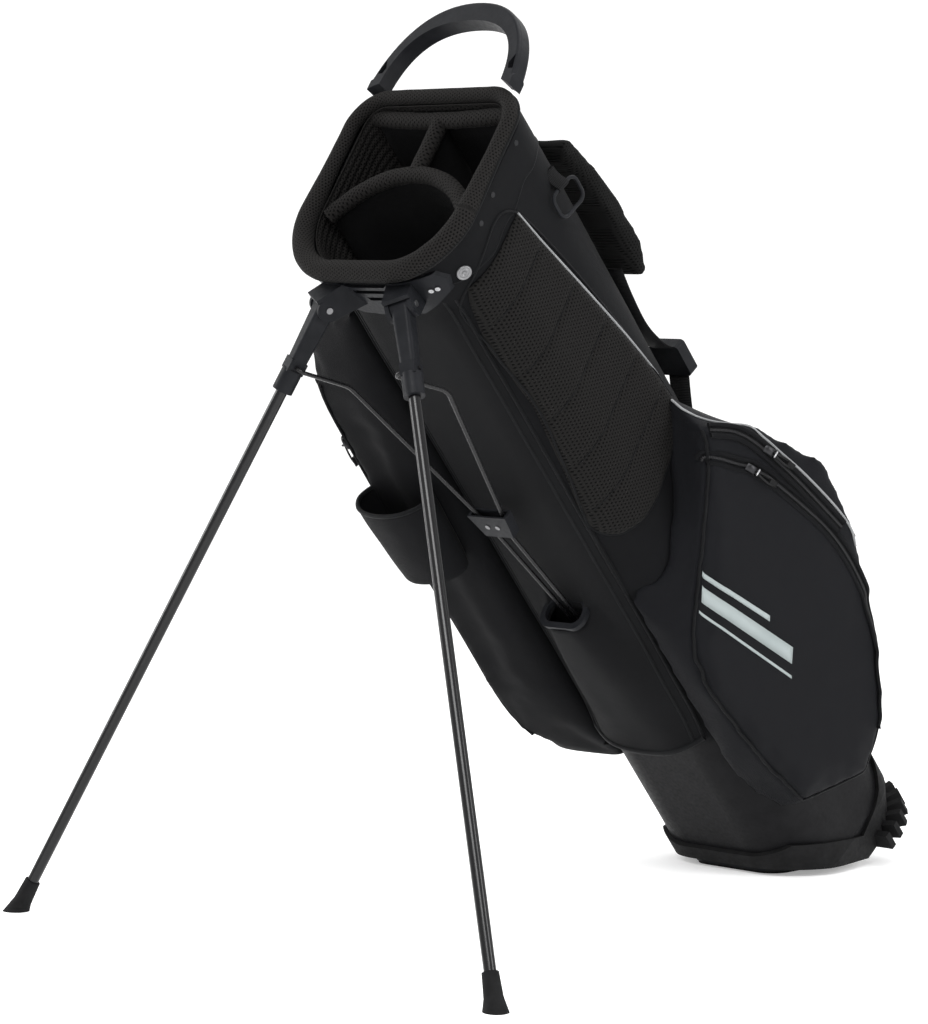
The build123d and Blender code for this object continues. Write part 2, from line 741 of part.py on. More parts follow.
def make_pull():
    """Pull with a round eye, hanging from the slider's pin."""
    x, y, z = PULL_PIVOT
    tab = Pos(x, y, z - 15) * Box(1.8, 5, 26)
    return tab + pull_pivot(2.2, 5) - pull_pivot(PULL_PIN_R + PIN_PLAY, 10)


BALL_ZIP = zip_frame(52, 488, ZIP_FALL)
UPPER_ZIP = zip_frame(76, 490, ZIP_FALL)
APPAREL_ZIP = Pos(APPAREL_X, -104, 640) * Rot(0, 0, 180)


# ---------------------------------------------------------------- write the parts
def main():
    save("base_boot", make_boot())
    save("tread_sole", make_sole())
    save("club_floor", make_floor())
    save("foot_plate", make_foot_plate())
    save("foot_plate_tread", make_foot_pad())
    save("foot_plate_pin", make_foot_pin())
    save("bag_body", make_body())
    save("body_stays", make_stays())
    save("front_channel_cover", make_front_cover())
    save("wire_guide", make_wire_guide())
    save("top_collar", make_collar())
    save("collar_cover", make_collar_cover())
    save("rim_pad", rim_roll(RIM_ROLL))
    save("divider_pad_back", inside_collar(roll_along(back_path())))
    save("divider_pad_centre", make_centre_divider())
    save("divider_pad_front", inside_collar(roll_along(arc_path())))
    save("divider_sheet_back", sheet([(-95, BACK_DIVIDER_Y), (95, BACK_DIVIDER_Y)]))
    save("divider_sheet_centre", sheet([(0, 1), (0, BACK_DIVIDER_Y - 2)]))
    save("divider_sheet_front", sheet(arc_points(94, 12)))
    save("top_handle", make_handle())
    save("stand_bracket", make_bracket())
    save("bracket_rivets", heads(BRACKET_RIVETS, 2.4, bracket_block(1.2) - bracket_block()))
    save("collar_rivets", heads(COLLAR_RIVETS, 2.6, cover_block(1.4) - cover_block()))
    save("collar_screws", heads(COLLAR_SCREWS, 7.4, cover_block(1.8) - cover_block()))
    save_pair("hinge_pin", make_hinge_pin())
    save_pair("leg_knuckle", make_knuckle())
    save_pair("leg_tube", make_leg_tube())
    save_pair("leg_foot", make_leg_foot())
    save_pair("stand_wire", make_wire())
    save("wire_clip", make_clip())
    save("clip_rivets", make_clip_rivets())
    save("push_rod", make_push_rod())
    save("rod_guides", make_rod_guides())
    save("ball_pocket", make_ball_pocket())
    save("apparel_pocket", make_apparel_pocket())
    save("bottle_sleeve", make_bottle_sleeve())
    save("hip_pad", make_hip_pad())
    save_pair("shoulder_pad", make_shoulder_pad())
    save_pair("strap_webbing", make_strap_webbing())
    save_pair("strap_buckle", make_strap_buckle())
    save("strap_anchor", make_strap_anchor())
    save("front_loop_tab", make_front_loop())
    save("towel_ring", make_towel_ring())
    save("towel_ring_tab", make_towel_tab())
    for name, frame in (("ball", BALL_ZIP), ("upper", UPPER_ZIP), ("apparel", APPAREL_ZIP)):
        save(f"{name}_zip_slider", frame * make_slider())
        save(f"{name}_zip_pull", frame * make_pull())


main()
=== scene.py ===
import bpy
import json
import math
from mathutils import Matrix, Vector, noise
from mathutils.bvhtree import BVHTree
from mathutils.geometry import delaunay_2d_cdt
from mathutils.kdtree import KDTree


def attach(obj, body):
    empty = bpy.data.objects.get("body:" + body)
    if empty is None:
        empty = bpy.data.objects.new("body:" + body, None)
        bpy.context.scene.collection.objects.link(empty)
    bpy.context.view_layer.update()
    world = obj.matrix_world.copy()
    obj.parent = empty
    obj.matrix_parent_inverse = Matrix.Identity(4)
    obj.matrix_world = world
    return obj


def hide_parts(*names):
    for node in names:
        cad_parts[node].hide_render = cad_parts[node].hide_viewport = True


# Golf stand bag, leaning on its deployed legs. Soft goods are drawn in the bag frame, in
# millimetres: x across the bag, y towards the straps, z up the bag from the boot. at() takes
# a point from there into the part's frame, in metres.

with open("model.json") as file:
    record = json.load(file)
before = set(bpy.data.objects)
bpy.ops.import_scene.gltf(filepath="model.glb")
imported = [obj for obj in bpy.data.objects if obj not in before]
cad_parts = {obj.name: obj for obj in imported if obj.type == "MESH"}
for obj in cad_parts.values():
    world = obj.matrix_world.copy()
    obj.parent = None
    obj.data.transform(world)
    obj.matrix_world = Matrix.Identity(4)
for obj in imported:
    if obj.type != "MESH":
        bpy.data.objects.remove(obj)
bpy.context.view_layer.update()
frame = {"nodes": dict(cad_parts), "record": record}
nodes = frame["nodes"]

MM = 0.001
LEAN = math.radians(38.5)
FOLD_Y = -6.3
FOOT_MID = 54.0
ORIGIN = Vector((0, FOLD_Y - FOOT_MID * math.cos(LEAN), FOOT_MID * math.sin(LEAN)))
TO_PART = Matrix.Rotation(LEAN, 4, "X") @ Matrix.Scale(MM, 4) @ Matrix.Translation(-ORIGIN)
TO_BAG = TO_PART.inverted()

BODY = (98.0, 91.0, 58.0)        # half width, half depth and corner radius
BODY_BOTTOM, BODY_TOP = 250.0, 797.0
RIM_HALF_X = 103.0               # centre line of the rim roll, front and back of its middle
RIM_FRONT, RIM_BACK = -102.0, 89.0
RIM_R, RIM_BACK_R = 66.0, 36.0
RIM_Y, RIM_Z = -15.0, 890.0
RIM_TILT = math.radians(18.2)
RIM_ROLL = 11.0
DIVIDER_ROLL = 8.0
DIVIDER_DROP = 13.0
BACK_DIVIDER_Y = 58.0
ARC_R = 115.0
SKIN_COLUMNS = 176               # columns of vertices round the body and the collar
STRAP_X = 59                     # middle of each shoulder strap


def at(x, y, z):
    return TO_PART @ Vector((x, y, z))


def towards(x, y, z):
    """A direction of the bag frame, in the part's frame."""
    return (TO_PART.to_3x3() @ Vector((x, y, z))).normalized()


# ------------------------------------------------------------------ node materials
class Shader:
    """A Principled material and short ways to wire its nodes."""

    def __init__(self, name, color, roughness, metallic=0.0):
        self.material = bpy.data.materials.new(name)
        self.material.use_nodes = True
        self.tree = self.material.node_tree
        self.shader = self.tree.nodes["Principled BSDF"]
        self.set("Base Color", (*color, 1))
        self.set("Roughness", roughness)
        self.set("Metallic", metallic)

    def set(self, socket, value):
        self.shader.inputs[socket].default_value = value

    def node(self, kind, **values):
        node = self.tree.nodes.new(kind)
        for key, value in values.items():
            setattr(node, key, value)
        return node

    def link(self, out, into):
        self.tree.links.new(out, into)

    def math(self, operation, first, second=None):
        node = self.node("ShaderNodeMath", operation=operation)
        for slot, value in enumerate((first, second)):
            if isinstance(value, (int, float)):
                node.inputs[slot].default_value = value
            elif value is not None:
                self.link(value, node.inputs[slot])
        return node.outputs[0]

    def bag_position(self):
        """The surface point in the bag frame, in millimetres."""
        mapping = self.node("ShaderNodeMapping", vector_type="POINT")
        mapping.inputs["Rotation"].default_value = (-LEAN, 0, 0)
        mapping.inputs["Scale"].default_value = (1 / MM, 1 / MM, 1 / MM)
        coords = self.node("ShaderNodeTexCoord")
        self.link(coords.outputs["Object"], mapping.inputs["Vector"])
        return mapping.outputs[0]

    def split(self, vector):
        node = self.node("ShaderNodeSeparateXYZ")
        self.link(vector, node.inputs[0])
        return node.outputs

    def noise(self, vector, scale, detail=3.0, distortion=0.0):
        node = self.node("ShaderNodeTexNoise")
        node.inputs["Scale"].default_value = scale
        node.inputs["Detail"].default_value = detail
        node.inputs["Distortion"].default_value = distortion
        self.link(vector, node.inputs["Vector"])
        return node.outputs[0]

    def mapped(self, value, low, high, to_low=0.0, to_high=1.0):
        node = self.node("ShaderNodeMapRange")
        ends = {"From Min": low, "From Max": high, "To Min": to_low, "To Max": to_high}
        for socket, number in ends.items():
            node.inputs[socket].default_value = number
        self.link(value, node.inputs["Value"])
        return node.outputs[0]

    def vary_roughness(self, value, low, high):
        self.link(self.mapped(value, 0.3, 0.7, low, high), self.shader.inputs["Roughness"])

    def colors(self, value, stops):
        ramp = self.node("ShaderNodeValToRGB")
        ramp.color_ramp.elements[0].position = stops[0][0]
        ramp.color_ramp.elements[0].color = (*stops[0][1], 1)
        ramp.color_ramp.elements[1].position = stops[1][0]
        ramp.color_ramp.elements[1].color = (*stops[1][1], 1)
        self.link(value, ramp.inputs[0])
        self.link(ramp.outputs[0], self.shader.inputs["Base Color"])

    def bump(self, height, distance, strength=1.0, after=None):
        node = self.node("ShaderNodeBump")
        node.inputs["Distance"].default_value = distance
        node.inputs["Strength"].default_value = strength
        self.link(height, node.inputs["Height"])
        if after is not None:
            self.link(after, node.inputs["Normal"])
        self.link(node.outputs[0], self.shader.inputs["Normal"])
        return node.outputs[0]


def weave_height(made, position, pitch):
    """Over and under of a plain weave: threads along the bag and round it."""
    x, y, z = made.split(position)
    turn = 2 * math.pi / pitch
    round_it = made.math("SINE", made.math("MULTIPLY", made.math("ADD", x, y), turn))
    along = made.math("SINE", made.math("MULTIPLY", z, turn))
    return made.math("MULTIPLY", round_it, along)


def fabric(name, color, light, pitch=1.3, roughness=0.7, sheen=0.015):
    made = Shader(name, color, roughness)
    made.set("Specular IOR Level", 0.07)
    position = made.bag_position()
    mottle = made.noise(position, 0.02, 5.0)
    made.colors(mottle, ((0.3, color), (0.75, light)))
    made.vary_roughness(mottle, roughness - 0.06, roughness + 0.08)
    threads = made.bump(weave_height(made, position, pitch), 0.00018, 0.8)
    made.bump(made.noise(position, 0.045, 4.0, 0.6), 0.0012, 0.35, after=threads)
    made.set("Sheen Weight", sheen)
    made.set("Sheen Roughness", 0.4)
    return made.material


def hexagons(made, u, v, pitch):
    """Peaks of a hexagonal lattice: three waves at 60 degrees, -1.5 to 3."""
    k = 2 * math.pi / (pitch * math.cos(math.radians(30)))
    total = None
    for degrees in (0, 60, 120):
        a, b = math.cos(math.radians(degrees)), math.sin(math.radians(degrees))
        across = made.math("ADD", made.math("MULTIPLY", u, a * k), made.math("MULTIPLY", v, b * k))
        wave = made.math("COSINE", across)
        total = wave if total is None else made.math("ADD", total, wave)
    return total


def air_mesh(name, color, hole_shade, pitch, flat=False):
    """Knitted spacer mesh; its open holes are painted shade, a near-black colour in place of the shade
    inside them; flat takes y and z of the bag, else the UV map in mm.
    """
    made = Shader(name, color, 0.8)
    if flat:
        sides = made.split(made.bag_position())
        u, v = sides[1], sides[2]
    else:
        sides = made.split(made.node("ShaderNodeUVMap").outputs[0])
        u, v = sides[0], sides[1]
    lattice = hexagons(made, u, v, pitch)
    # Painted shade: where the lattice sinks, the holes take the near-black hole colour instead of real shade
    # inside them.
    made.colors(made.mapped(lattice, 0.4, 1.9), ((0.25, color), (0.8, hole_shade)))
    made.bump(made.mapped(lattice, 0.2, 2.2, 1.0, 0.0), 0.0009, 1.0)
    made.set("Sheen Weight", 0.015)
    made.set("Specular IOR Level", 0.06)
    return made.material


def moulded(name, color, light, roughness=0.5, grain=1.6):
    """Moulded plastic: fine grain, slightly rubbed lighter patches."""
    made = Shader(name, color, roughness)
    position = made.bag_position()
    made.colors(made.noise(position, 0.06, 6.0), ((0.35, color), (0.75, light)))
    made.bump(made.noise(position, grain, 2.0), 0.00012, 0.5)
    worn = made.noise(position, 0.25, 4.0)
    made.vary_roughness(worn, roughness - 0.07, roughness + 0.09)
    made.set("Specular IOR Level", 0.09)
    return made.material


def metal(name, color, roughness, metallic=1.0, coat=0.0):
    made = Shader(name, color, roughness, metallic)
    position = made.bag_position()
    streaks = made.noise(position, 0.5, 5.0)
    made.vary_roughness(streaks, roughness * 0.8, roughness * 1.3)
    made.bump(made.noise(position, 2.5, 2.0), 0.00003, 0.4)
    made.set("Specular IOR Level", 0.3)
    made.set("Coat Weight", coat)
    made.set("Coat Roughness", 0.08)
    return made.material


def ribbed(name, color, light, pitch, roughness=0.7):
    """Woven webbing: ribs across the strap, from the UV map in mm, with painted highlight on the crests and
    painted shade in the grooves.
    """
    made = Shader(name, color, roughness)
    u = made.split(made.node("ShaderNodeUVMap").outputs[0])[0]
    ribs = made.math("SINE", made.math("MULTIPLY", u, 2 * math.pi / pitch))
    # Painted highlight and shade: the colour follows the ribs' height, lighter on the crests and darker
    # between them.
    made.colors(made.mapped(ribs, -1, 1), ((0.2, color), (0.9, light)))
    made.bump(ribs, 0.0003, 0.8)
    made.set("Specular IOR Level", 0.1)
    return made.material


BLACK = (0.0032, 0.0033, 0.0039)
M = {
    "fabric": fabric("black_fabric", BLACK, (0.0052, 0.0054, 0.0062)),
    "panel": fabric("front_panel_fabric", (0.0042, 0.0043, 0.0048), (0.0065, 0.0067, 0.0074)),
    "face": fabric("pocket_face_fabric", (0.0038, 0.0040, 0.0052), (0.0056, 0.0059, 0.0073), 1.0, 0.5),
    "lining": fabric("divider_cloth", (0.004, 0.004, 0.0042), (0.007, 0.007, 0.0075), 1.6, 0.8),
    # The second colour of each air mesh is the painted shade of its holes.
    "mesh": air_mesh("rim_air_mesh", (0.0115, 0.0108, 0.0104), (0.0006, 0.0006, 0.0006), 3.4),
    "panel_mesh": air_mesh("hip_air_mesh", (0.0085, 0.0081, 0.0078), (0.0005, 0.0005, 0.0005), 3.8, True),
    "pad_mesh": air_mesh("strap_air_mesh", (0.006, 0.006, 0.006), (0.0005, 0.0005, 0.0005), 3.2, True),
    "plastic": moulded("moulded_plastic", (0.0075, 0.008, 0.0095), (0.012, 0.0125, 0.0145), 0.42),
    "boot": moulded("boot_plastic", (0.0042, 0.0042, 0.0048), (0.007, 0.007, 0.0078), 0.5),
    "rubber": moulded("matt_rubber", (0.0065, 0.0065, 0.0068), (0.0105, 0.0105, 0.011), 0.72, 0.8),
    "tube": metal("black_tube", (0.003, 0.003, 0.0035), 0.2, 0.0, 0.06),
    "wire": metal("black_wire", (0.006, 0.006, 0.0066), 0.28, 0.1),
    "dark_metal": metal("dark_metal", (0.035, 0.035, 0.037), 0.35),
    "steel": metal("plain_steel", (0.2, 0.2, 0.205), 0.4),
    "silver": metal("bright_silver", (0.4, 0.4, 0.41), 0.3),
    "stay": moulded("stay_rod", (0.02, 0.02, 0.02), (0.03, 0.03, 0.03)),
    "piping": fabric("grey_piping", (0.2, 0.205, 0.21), (0.3, 0.305, 0.31), 0.8, 0.5),
    "print": fabric("light_print", (0.3, 0.34, 0.34), (0.36, 0.4, 0.4), 1.0, 0.55, 0.0),
    "welt": fabric("black_welt", (0.0045, 0.0047, 0.0053), (0.0075, 0.0078, 0.0085), 0.8, 0.5),
    # The lighter colour of webbing and zip coil is painted highlight on the rib crests.
    "webbing": ribbed("black_webbing", (0.0035, 0.0035, 0.0038), (0.009, 0.009, 0.0096), 1.6),
    "zip": ribbed("zip_coil", (0.005, 0.005, 0.005), (0.03, 0.03, 0.032), 1.5, 0.45),
    "pull": moulded("cord_pull", (0.01, 0.01, 0.01), (0.02, 0.02, 0.021), 0.4),
}
SLOT_LOOKS = {
    "black_fabric": "fabric", "air_mesh": "mesh", "webbing": "webbing", "moulded_plastic": "plastic",
    "rubber": "rubber", "black_aluminium": "tube", "black_wire": "wire", "steel": "steel",
    "silver": "silver", "stay_rod": "stay", "cord_pull": "pull",
}


def dress_nodes():
    """Give every CAD node its own finish; a few differ from their slot's usual one."""
    slots = {part["node"]: part["material_slot"] for part in frame["record"]["subparts"]}
    special = {
        "base_boot": "boot",
        "club_floor": "boot",
        "top_collar": "boot",
        "towel_ring": "plastic",
        "collar_rivets": "dark_metal",
        "clip_rivets": "steel",
    }
    for name, slot in slots.items():
        look = special.get(name, SLOT_LOOKS[slot])
        data = nodes[name].data
        data.materials.clear()
        data.materials.append(M[look])


# ------------------------------------------------------------------ building pieces
def add(name, verts, faces, look, body="bag", uvs=None):
    """A new piece from bag-frame vertices, riding on a body."""
    return placed(name, [at(*v) for v in verts], faces, look, body, uvs)


def placed(name, verts, faces, look, body="bag", uvs=None):
    """A new piece from vertices in the part's frame, riding on a body."""
    mesh = bpy.data.meshes.new(name)
    mesh.from_pydata(verts, [], faces)
    return finish_piece(name, mesh, look, body, uvs)


def finish_piece(name, mesh, look, body="bag", uvs=None):
    if uvs is not None:
        layer = mesh.uv_layers.new(name="UVMap")
        for loop in mesh.loops:
            layer.data[loop.index].uv = uvs[loop.vertex_index]
    mesh.materials.clear()
    mesh.materials.append(M[look])
    for face in mesh.polygons:
        face.use_smooth = True
    mesh.update()
    piece = bpy.data.objects.new(name, mesh)
    bpy.context.scene.collection.objects.link(piece)
    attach(piece, body)
    return piece


def baked(piece):
    """The piece's mesh with its modifiers applied."""
    graph = bpy.context.evaluated_depsgraph_get()
    mesh = bpy.data.meshes.new_from_object(piece.evaluated_get(graph))
    piece.modifiers.clear()
    piece.data = mesh
    for face in mesh.polygons:
        face.use_smooth = True
    return piece


def thickened(piece, thick, offset=-1):
    """The piece given an even thickness in mm, inward unless offset says otherwise."""
    solid = piece.modifiers.new("thickness", "SOLIDIFY")
    solid.thickness = thick * MM
    solid.offset = offset
    return baked(piece)


def tree_of(*pieces):
    """One search tree over the surfaces of several pieces, in the part's frame."""
    verts, polys = [], []
    for piece in pieces:
        base = len(verts)
        verts += [v.co.copy() for v in piece.data.vertices]
        polys += [[base + i for i in face.vertices] for face in piece.data.polygons]
    return BVHTree.FromPolygons(verts, polys)


def smooth_path(points, step=3.0, closed=False):
    """Points along a Catmull-Rom curve through the given ones, about step mm apart."""
    pts = [Vector(p) for p in points]
    count = len(pts)
    out = []
    for i in range(count if closed else count - 1):
        p1, p2 = pts[i], pts[(i + 1) % count]
        p0 = pts[i - 1] if closed or i > 0 else p1 * 2 - p2
        p3 = pts[(i + 2) % count] if closed or i + 2 < count else p2 * 2 - p1
        pieces = max(1, round((p2 - p1).length / step))
        for k in range(pieces):
            t = k / pieces
            out.append(
                0.5
                * (
                    2 * p1
                    + (p2 - p0) * t
                    + (2 * p0 - 5 * p1 + 4 * p2 - p3) * t * t
                    + (3 * p1 - p0 - 3 * p2 + p3) * t**3
                )
            )
    if not closed:
        out.append(pts[-1])
    return out


def laid(tree, points, way=None, start=300.0):
    """Drop bag-frame points onto a surface, along a direction or to the nearest place."""
    direction = towards(*way) if way else Vector((0, 0, 0))
    found = []
    for p in points:
        if way:
            hit, normal, _, _ = tree.ray_cast(at(*p) - direction * start * MM, direction)
        else:
            hit, normal, _, _ = tree.find_nearest(at(*p))
        if hit is None:
            continue
        if normal.dot(direction) > 0:
            normal = -normal
        found.append((hit, normal))
    return found


def evened(path, rounds=2):
    """Average a laid path a little, so that it doesn't follow every facet."""
    for _ in range(rounds):
        path = [path[0]] + [
            (
                (path[i - 1][0] + path[i][0] * 2 + path[i + 1][0]) / 4,
                (path[i - 1][1] + path[i][1] * 2 + path[i + 1][1]).normalized(),
            )
            for i in range(1, len(path) - 1)
        ] + [path[-1]]
    return path


def swept(name, path, profile, look, body="bag", closed=False):
    """A profile of (across, out) points in mm, swept along a laid path."""
    count, ring = len(path), len(profile)
    verts, uvs, length = [], [], 0.0
    for i, (spot, normal) in enumerate(path):
        ahead = path[(i + 1) % count][0] if closed or i + 1 < count else spot
        behind = path[i - 1][0] if closed or i > 0 else spot
        along = (ahead - behind).normalized()
        across = along.cross(normal).normalized()
        out = across.cross(along).normalized()
        if i:
            length += (spot - path[i - 1][0]).length / MM
        for k, (a, h) in enumerate(profile):
            verts.append(spot + across * a * MM + out * h * MM)
            uvs.append((length, a))
    faces = []
    for i in range(count if closed else count - 1):
        for k in range(ring):
            j, m = (i + 1) % count, (k + 1) % ring
            faces.append((i * ring + k, i * ring + m, j * ring + m, j * ring + k))
    if not closed:
        faces.append(tuple(range(ring)))
        faces.append(tuple((count - 1) * ring + k for k in reversed(range(ring))))
    return placed(name, verts, faces, look, body, uvs)


def welt(name, path, profile, closed=False):
    """A narrow covered cord or fold of the bag's own fabric, along a seam."""
    return swept(name, path, profile, "welt", closed=closed)


def round_profile(radius, sides=8, squash=1.0, lift=0.0):
    turns = [2 * math.pi * k / sides for k in range(sides)]
    return [(radius * math.cos(t), lift + radius * squash * math.sin(t)) for t in turns]


def flat_profile(half, thick, lift=0.0):
    """A strip with eased edges."""
    ease = min(thick, half) * 0.4
    return [
        (-half, lift), (-half, lift + thick - ease), (-half + ease, lift + thick),
        (half - ease, lift + thick), (half, lift + thick - ease), (half, lift),
    ]


# ------------------------------------------------------------------ soft forms
def remeshed(name, node, voxel, shrink=0.0):
    """A closed soft form that starts from the CAD node's own shape."""
    mesh = nodes[node].data.copy()
    mesh.name = name
    piece = bpy.data.objects.new(name, mesh)
    bpy.context.scene.collection.objects.link(piece)
    if shrink:
        normals = [v.normal.copy() for v in mesh.vertices]
        for vertex, normal in zip(mesh.vertices, normals):
            vertex.co -= normal * shrink * MM
    remesh = piece.modifiers.new("remesh", "REMESH")
    remesh.mode = "VOXEL"
    remesh.voxel_size = voxel * MM
    return baked(piece)


def relaxed(piece, rounds, strength=0.5):
    smooth = piece.modifiers.new("smooth", "SMOOTH")
    smooth.iterations = rounds
    smooth.factor = strength
    return baked(piece)


def puffed(piece, pressure, cap, held=None, frames=20):
    """Inflate a closed form with cloth pressure; no point moves further than cap mm."""
    start = [v.co.copy() for v in piece.data.vertices]
    cloth = piece.modifiers.new("cloth", "CLOTH")
    cloth.settings.quality = 5
    cloth.settings.mass = 0.25
    cloth.settings.tension_stiffness = 12
    cloth.settings.compression_stiffness = 12
    cloth.settings.shear_stiffness = 6
    cloth.settings.bending_stiffness = 1.2
    cloth.settings.use_pressure = True
    cloth.settings.uniform_pressure_force = pressure
    cloth.settings.effector_weights.gravity = 0
    cloth.point_cache.frame_start = 1
    cloth.point_cache.frame_end = frames
    if held:
        group = piece.vertex_groups.new(name="held")
        group.add(held, 1.0, "REPLACE")
        cloth.settings.vertex_group_mass = "held"
    for step in range(1, frames + 1):
        bpy.context.scene.frame_set(step)
    baked(piece)
    bpy.context.scene.frame_set(1)
    for vertex, first in zip(piece.data.vertices, start):
        move = vertex.co - first
        if move.length > cap * MM:
            vertex.co = first + move.normalized() * cap * MM
    return piece


def close_to(piece, tree, reach):
    """Indices of the piece's vertices that lie within reach mm of a surface."""
    return [
        v.index for v in piece.data.vertices if tree.find_nearest(v.co, reach * MM)[0] is not None
    ]


def refined(piece, levels=1):
    subdivision = piece.modifiers.new("subdivision", "SUBSURF")
    subdivision.levels = levels
    subdivision.render_levels = levels
    return baked(piece)


def crumpled(piece, size, depth, seed, stretch=(1, 1, 1)):
    """Shallow creases: move points along their normals by layered noise, in bag mm."""
    offset = Vector((seed * 17.3, seed * 5.1, seed * 9.7))
    normals = [v.normal.copy() for v in piece.data.vertices]
    for vertex, normal in zip(piece.data.vertices, normals):
        p = TO_BAG @ vertex.co
        q = Vector((p.x / stretch[0], p.y / stretch[1], p.z / stretch[2])) / size + offset
        height = noise.noise(q) + 0.5 * noise.noise(q * 2.1 + offset)
        vertex.co += normal * height * depth * MM
    piece.data.update()
    return piece


def creased(piece, path, width, depth):
    """Press a groove along a laid path into the piece."""
    tree = KDTree(len(path))
    for i, (spot, _) in enumerate(path):
        tree.insert(spot, i)
    tree.balance()
    normals = [v.normal.copy() for v in piece.data.vertices]
    for vertex, normal in zip(piece.data.vertices, normals):
        _, _, gap = tree.find(vertex.co)
        if gap < width * MM:
            drop = depth * math.cos(0.5 * math.pi * gap / (width * MM)) ** 2
            vertex.co -= normal * drop * MM
    piece.data.update()
    return piece


def soft(piece, look, replaced, body="bag"):
    """Finish a soft form: give it its material, put it on a body, and hide the CAD nodes it stands for."""
    piece.data.materials.clear()
    piece.data.materials.append(M[look])
    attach(piece, body)
    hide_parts(*replaced)
    return piece


# ------------------------------------------------------------------ outlines and skins
def outline_point(half_x, front, back, front_r, back_r, s):
    """Point on a soft rectangle; s runs 0 to 8, a side and a corner by turns, from +x."""
    part, along = int(s) % 8, s - int(s)
    near, far = front + front_r, back - back_r
    sides = {
        0: ((half_x, near), (half_x, far)),
        2: ((half_x - back_r, back), (back_r - half_x, back)),
        4: ((-half_x, far), (-half_x, near)),
        6: ((front_r - half_x, front), (half_x - front_r, front)),
    }
    if part in sides:
        (x0, y0), (x1, y1) = sides[part]
        return x0 + (x1 - x0) * along, y0 + (y1 - y0) * along
    radius = back_r if part in (1, 3) else front_r
    centre_x = (half_x - radius) * (1 if part in (1, 7) else -1)
    centre_y = far if part in (1, 3) else near
    turn = math.radians(90 * ((part - 1) // 2 + along))
    return centre_x + radius * math.cos(turn), centre_y + radius * math.sin(turn)


def body_outline(s, grow):
    half_x, half_y, radius = (size + grow for size in BODY)
    return outline_point(half_x, -half_y, half_y, radius, radius, s)


def rim_point(s, grow=0.0, drop=0.0):
    """Point of the rim outline, grown sideways and dropped along the rim's normal."""
    u, v = outline_point(
        RIM_HALF_X + grow, RIM_FRONT - grow, RIM_BACK + grow, RIM_R + grow, RIM_BACK_R + grow, s
    )
    return Vector(
        (
            u,
            RIM_Y + v * math.cos(RIM_TILT) + drop * math.sin(RIM_TILT),
            RIM_Z + v * math.sin(RIM_TILT) - drop * math.cos(RIM_TILT),
        )
    )


def skin_point(s, z, grow):
    """Outer skin of body and collar at height z: straight to the collar, then out to the rim."""
    x, y = body_outline(s, grow)
    if z <= BODY_TOP:
        return Vector((x, y, z))
    low, top = Vector((x, y, BODY_TOP)), rim_point(s, grow, RIM_ROLL)
    return low.lerp(top, (z - BODY_TOP) / (top.z - BODY_TOP))


def grid_faces(rows, columns, closed):
    wide = columns if closed else columns - 1
    return [
        (
            i * columns + j,
            i * columns + (j + 1) % columns,
            (i + 1) * columns + (j + 1) % columns,
            (i + 1) * columns + j,
        )
        for i in range(rows - 1)
        for j in range(wide)
    ]


def cloth_shell(name, rows, thick, look, closed=True, body="bag"):
    """A sheet from rows of bag-frame points, given an even thickness inward."""
    columns = len(rows[0])
    verts = [p for row in rows for p in row]
    uvs = [(0.0, 0.0)] * len(verts)
    faces = [tuple(reversed(f)) for f in grid_faces(len(rows), columns, closed)]
    piece = add(name, verts, faces, look, body, uvs)
    return thickened(piece, thick)


def around(count):
    return [8 * k / count for k in range(count)]


# ------------------------------------------------------------------ body and front panel
PANEL_HALF = 73.0
PANEL_TOP = 812.0
CHANNEL_TOP = 429.0
GUIDE_HALF = 23.0


def collar_edge(y):
    """Height of the collar fabric's lower edge at depth y."""
    stops = [(-130, 838), (-91, 831), (-70, 824), (-47, 827), (-8, 841), (27, 857), (60, 864), (130, 866)]
    for (y0, z0), (y1, z1) in zip(stops, stops[1:]):
        if y <= y1:
            t = max(0.0, (y - y0) / (y1 - y0))
            return z0 + (z1 - z0) * t * t * (3 - 2 * t)
    return stops[-1][1]


def make_body():
    rows = []
    count = 70
    for i in range(count + 1):
        row = []
        for s in around(SKIN_COLUMNS):
            top = collar_edge(skin_point(s, BODY_TOP, 0).y) + 6
            z = BODY_BOTTOM + (top - BODY_BOTTOM) * i / count
            turn = s * math.pi / 4
            wave = noise.noise(Vector((math.sin(turn) * 2.2, math.cos(turn) * 2.2, z / 90)))
            slack = math.sin(math.pi * min(1.0, (z - BODY_BOTTOM) / (BODY_TOP - BODY_BOTTOM)))
            row.append(skin_point(s, z, 0.9 + slack * (wave * 1.6 - 0.9)))
        rows.append(row)
    piece = cloth_shell("body_fabric", rows, 1.7, "fabric")
    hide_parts("bag_body")
    return piece


def panel_bottom(x):
    return 247 + 12 * (abs(x) / PANEL_HALF) ** 2


def channel_height(x, z):
    """How far the panel stands out over the channel that the wires run in."""
    if z > CHANNEL_TOP:
        fade = max(0.0, 1 - (z - CHANNEL_TOP) / 30)
        width, height = 24 + 8 * fade, 14 * fade**2
        if abs(x) < GUIDE_HALF:
            return 0.0
    else:
        t = (z - 247) / (CHANNEL_TOP - 247)
        width, height = 52 - 26 * t**3, 7 + 19 * t**0.8
    return height * math.exp(-((abs(x) / width) ** 4))


def front_y(x, z):
    """Depth of the body's front skin at x."""
    half_x, half_y, radius = BODY
    lean = max(0.0, z - BODY_TOP) * 0.21
    over = max(0.0, abs(x) - (half_x - radius))
    return -(half_y - radius + math.sqrt(radius**2 - over**2)) - lean


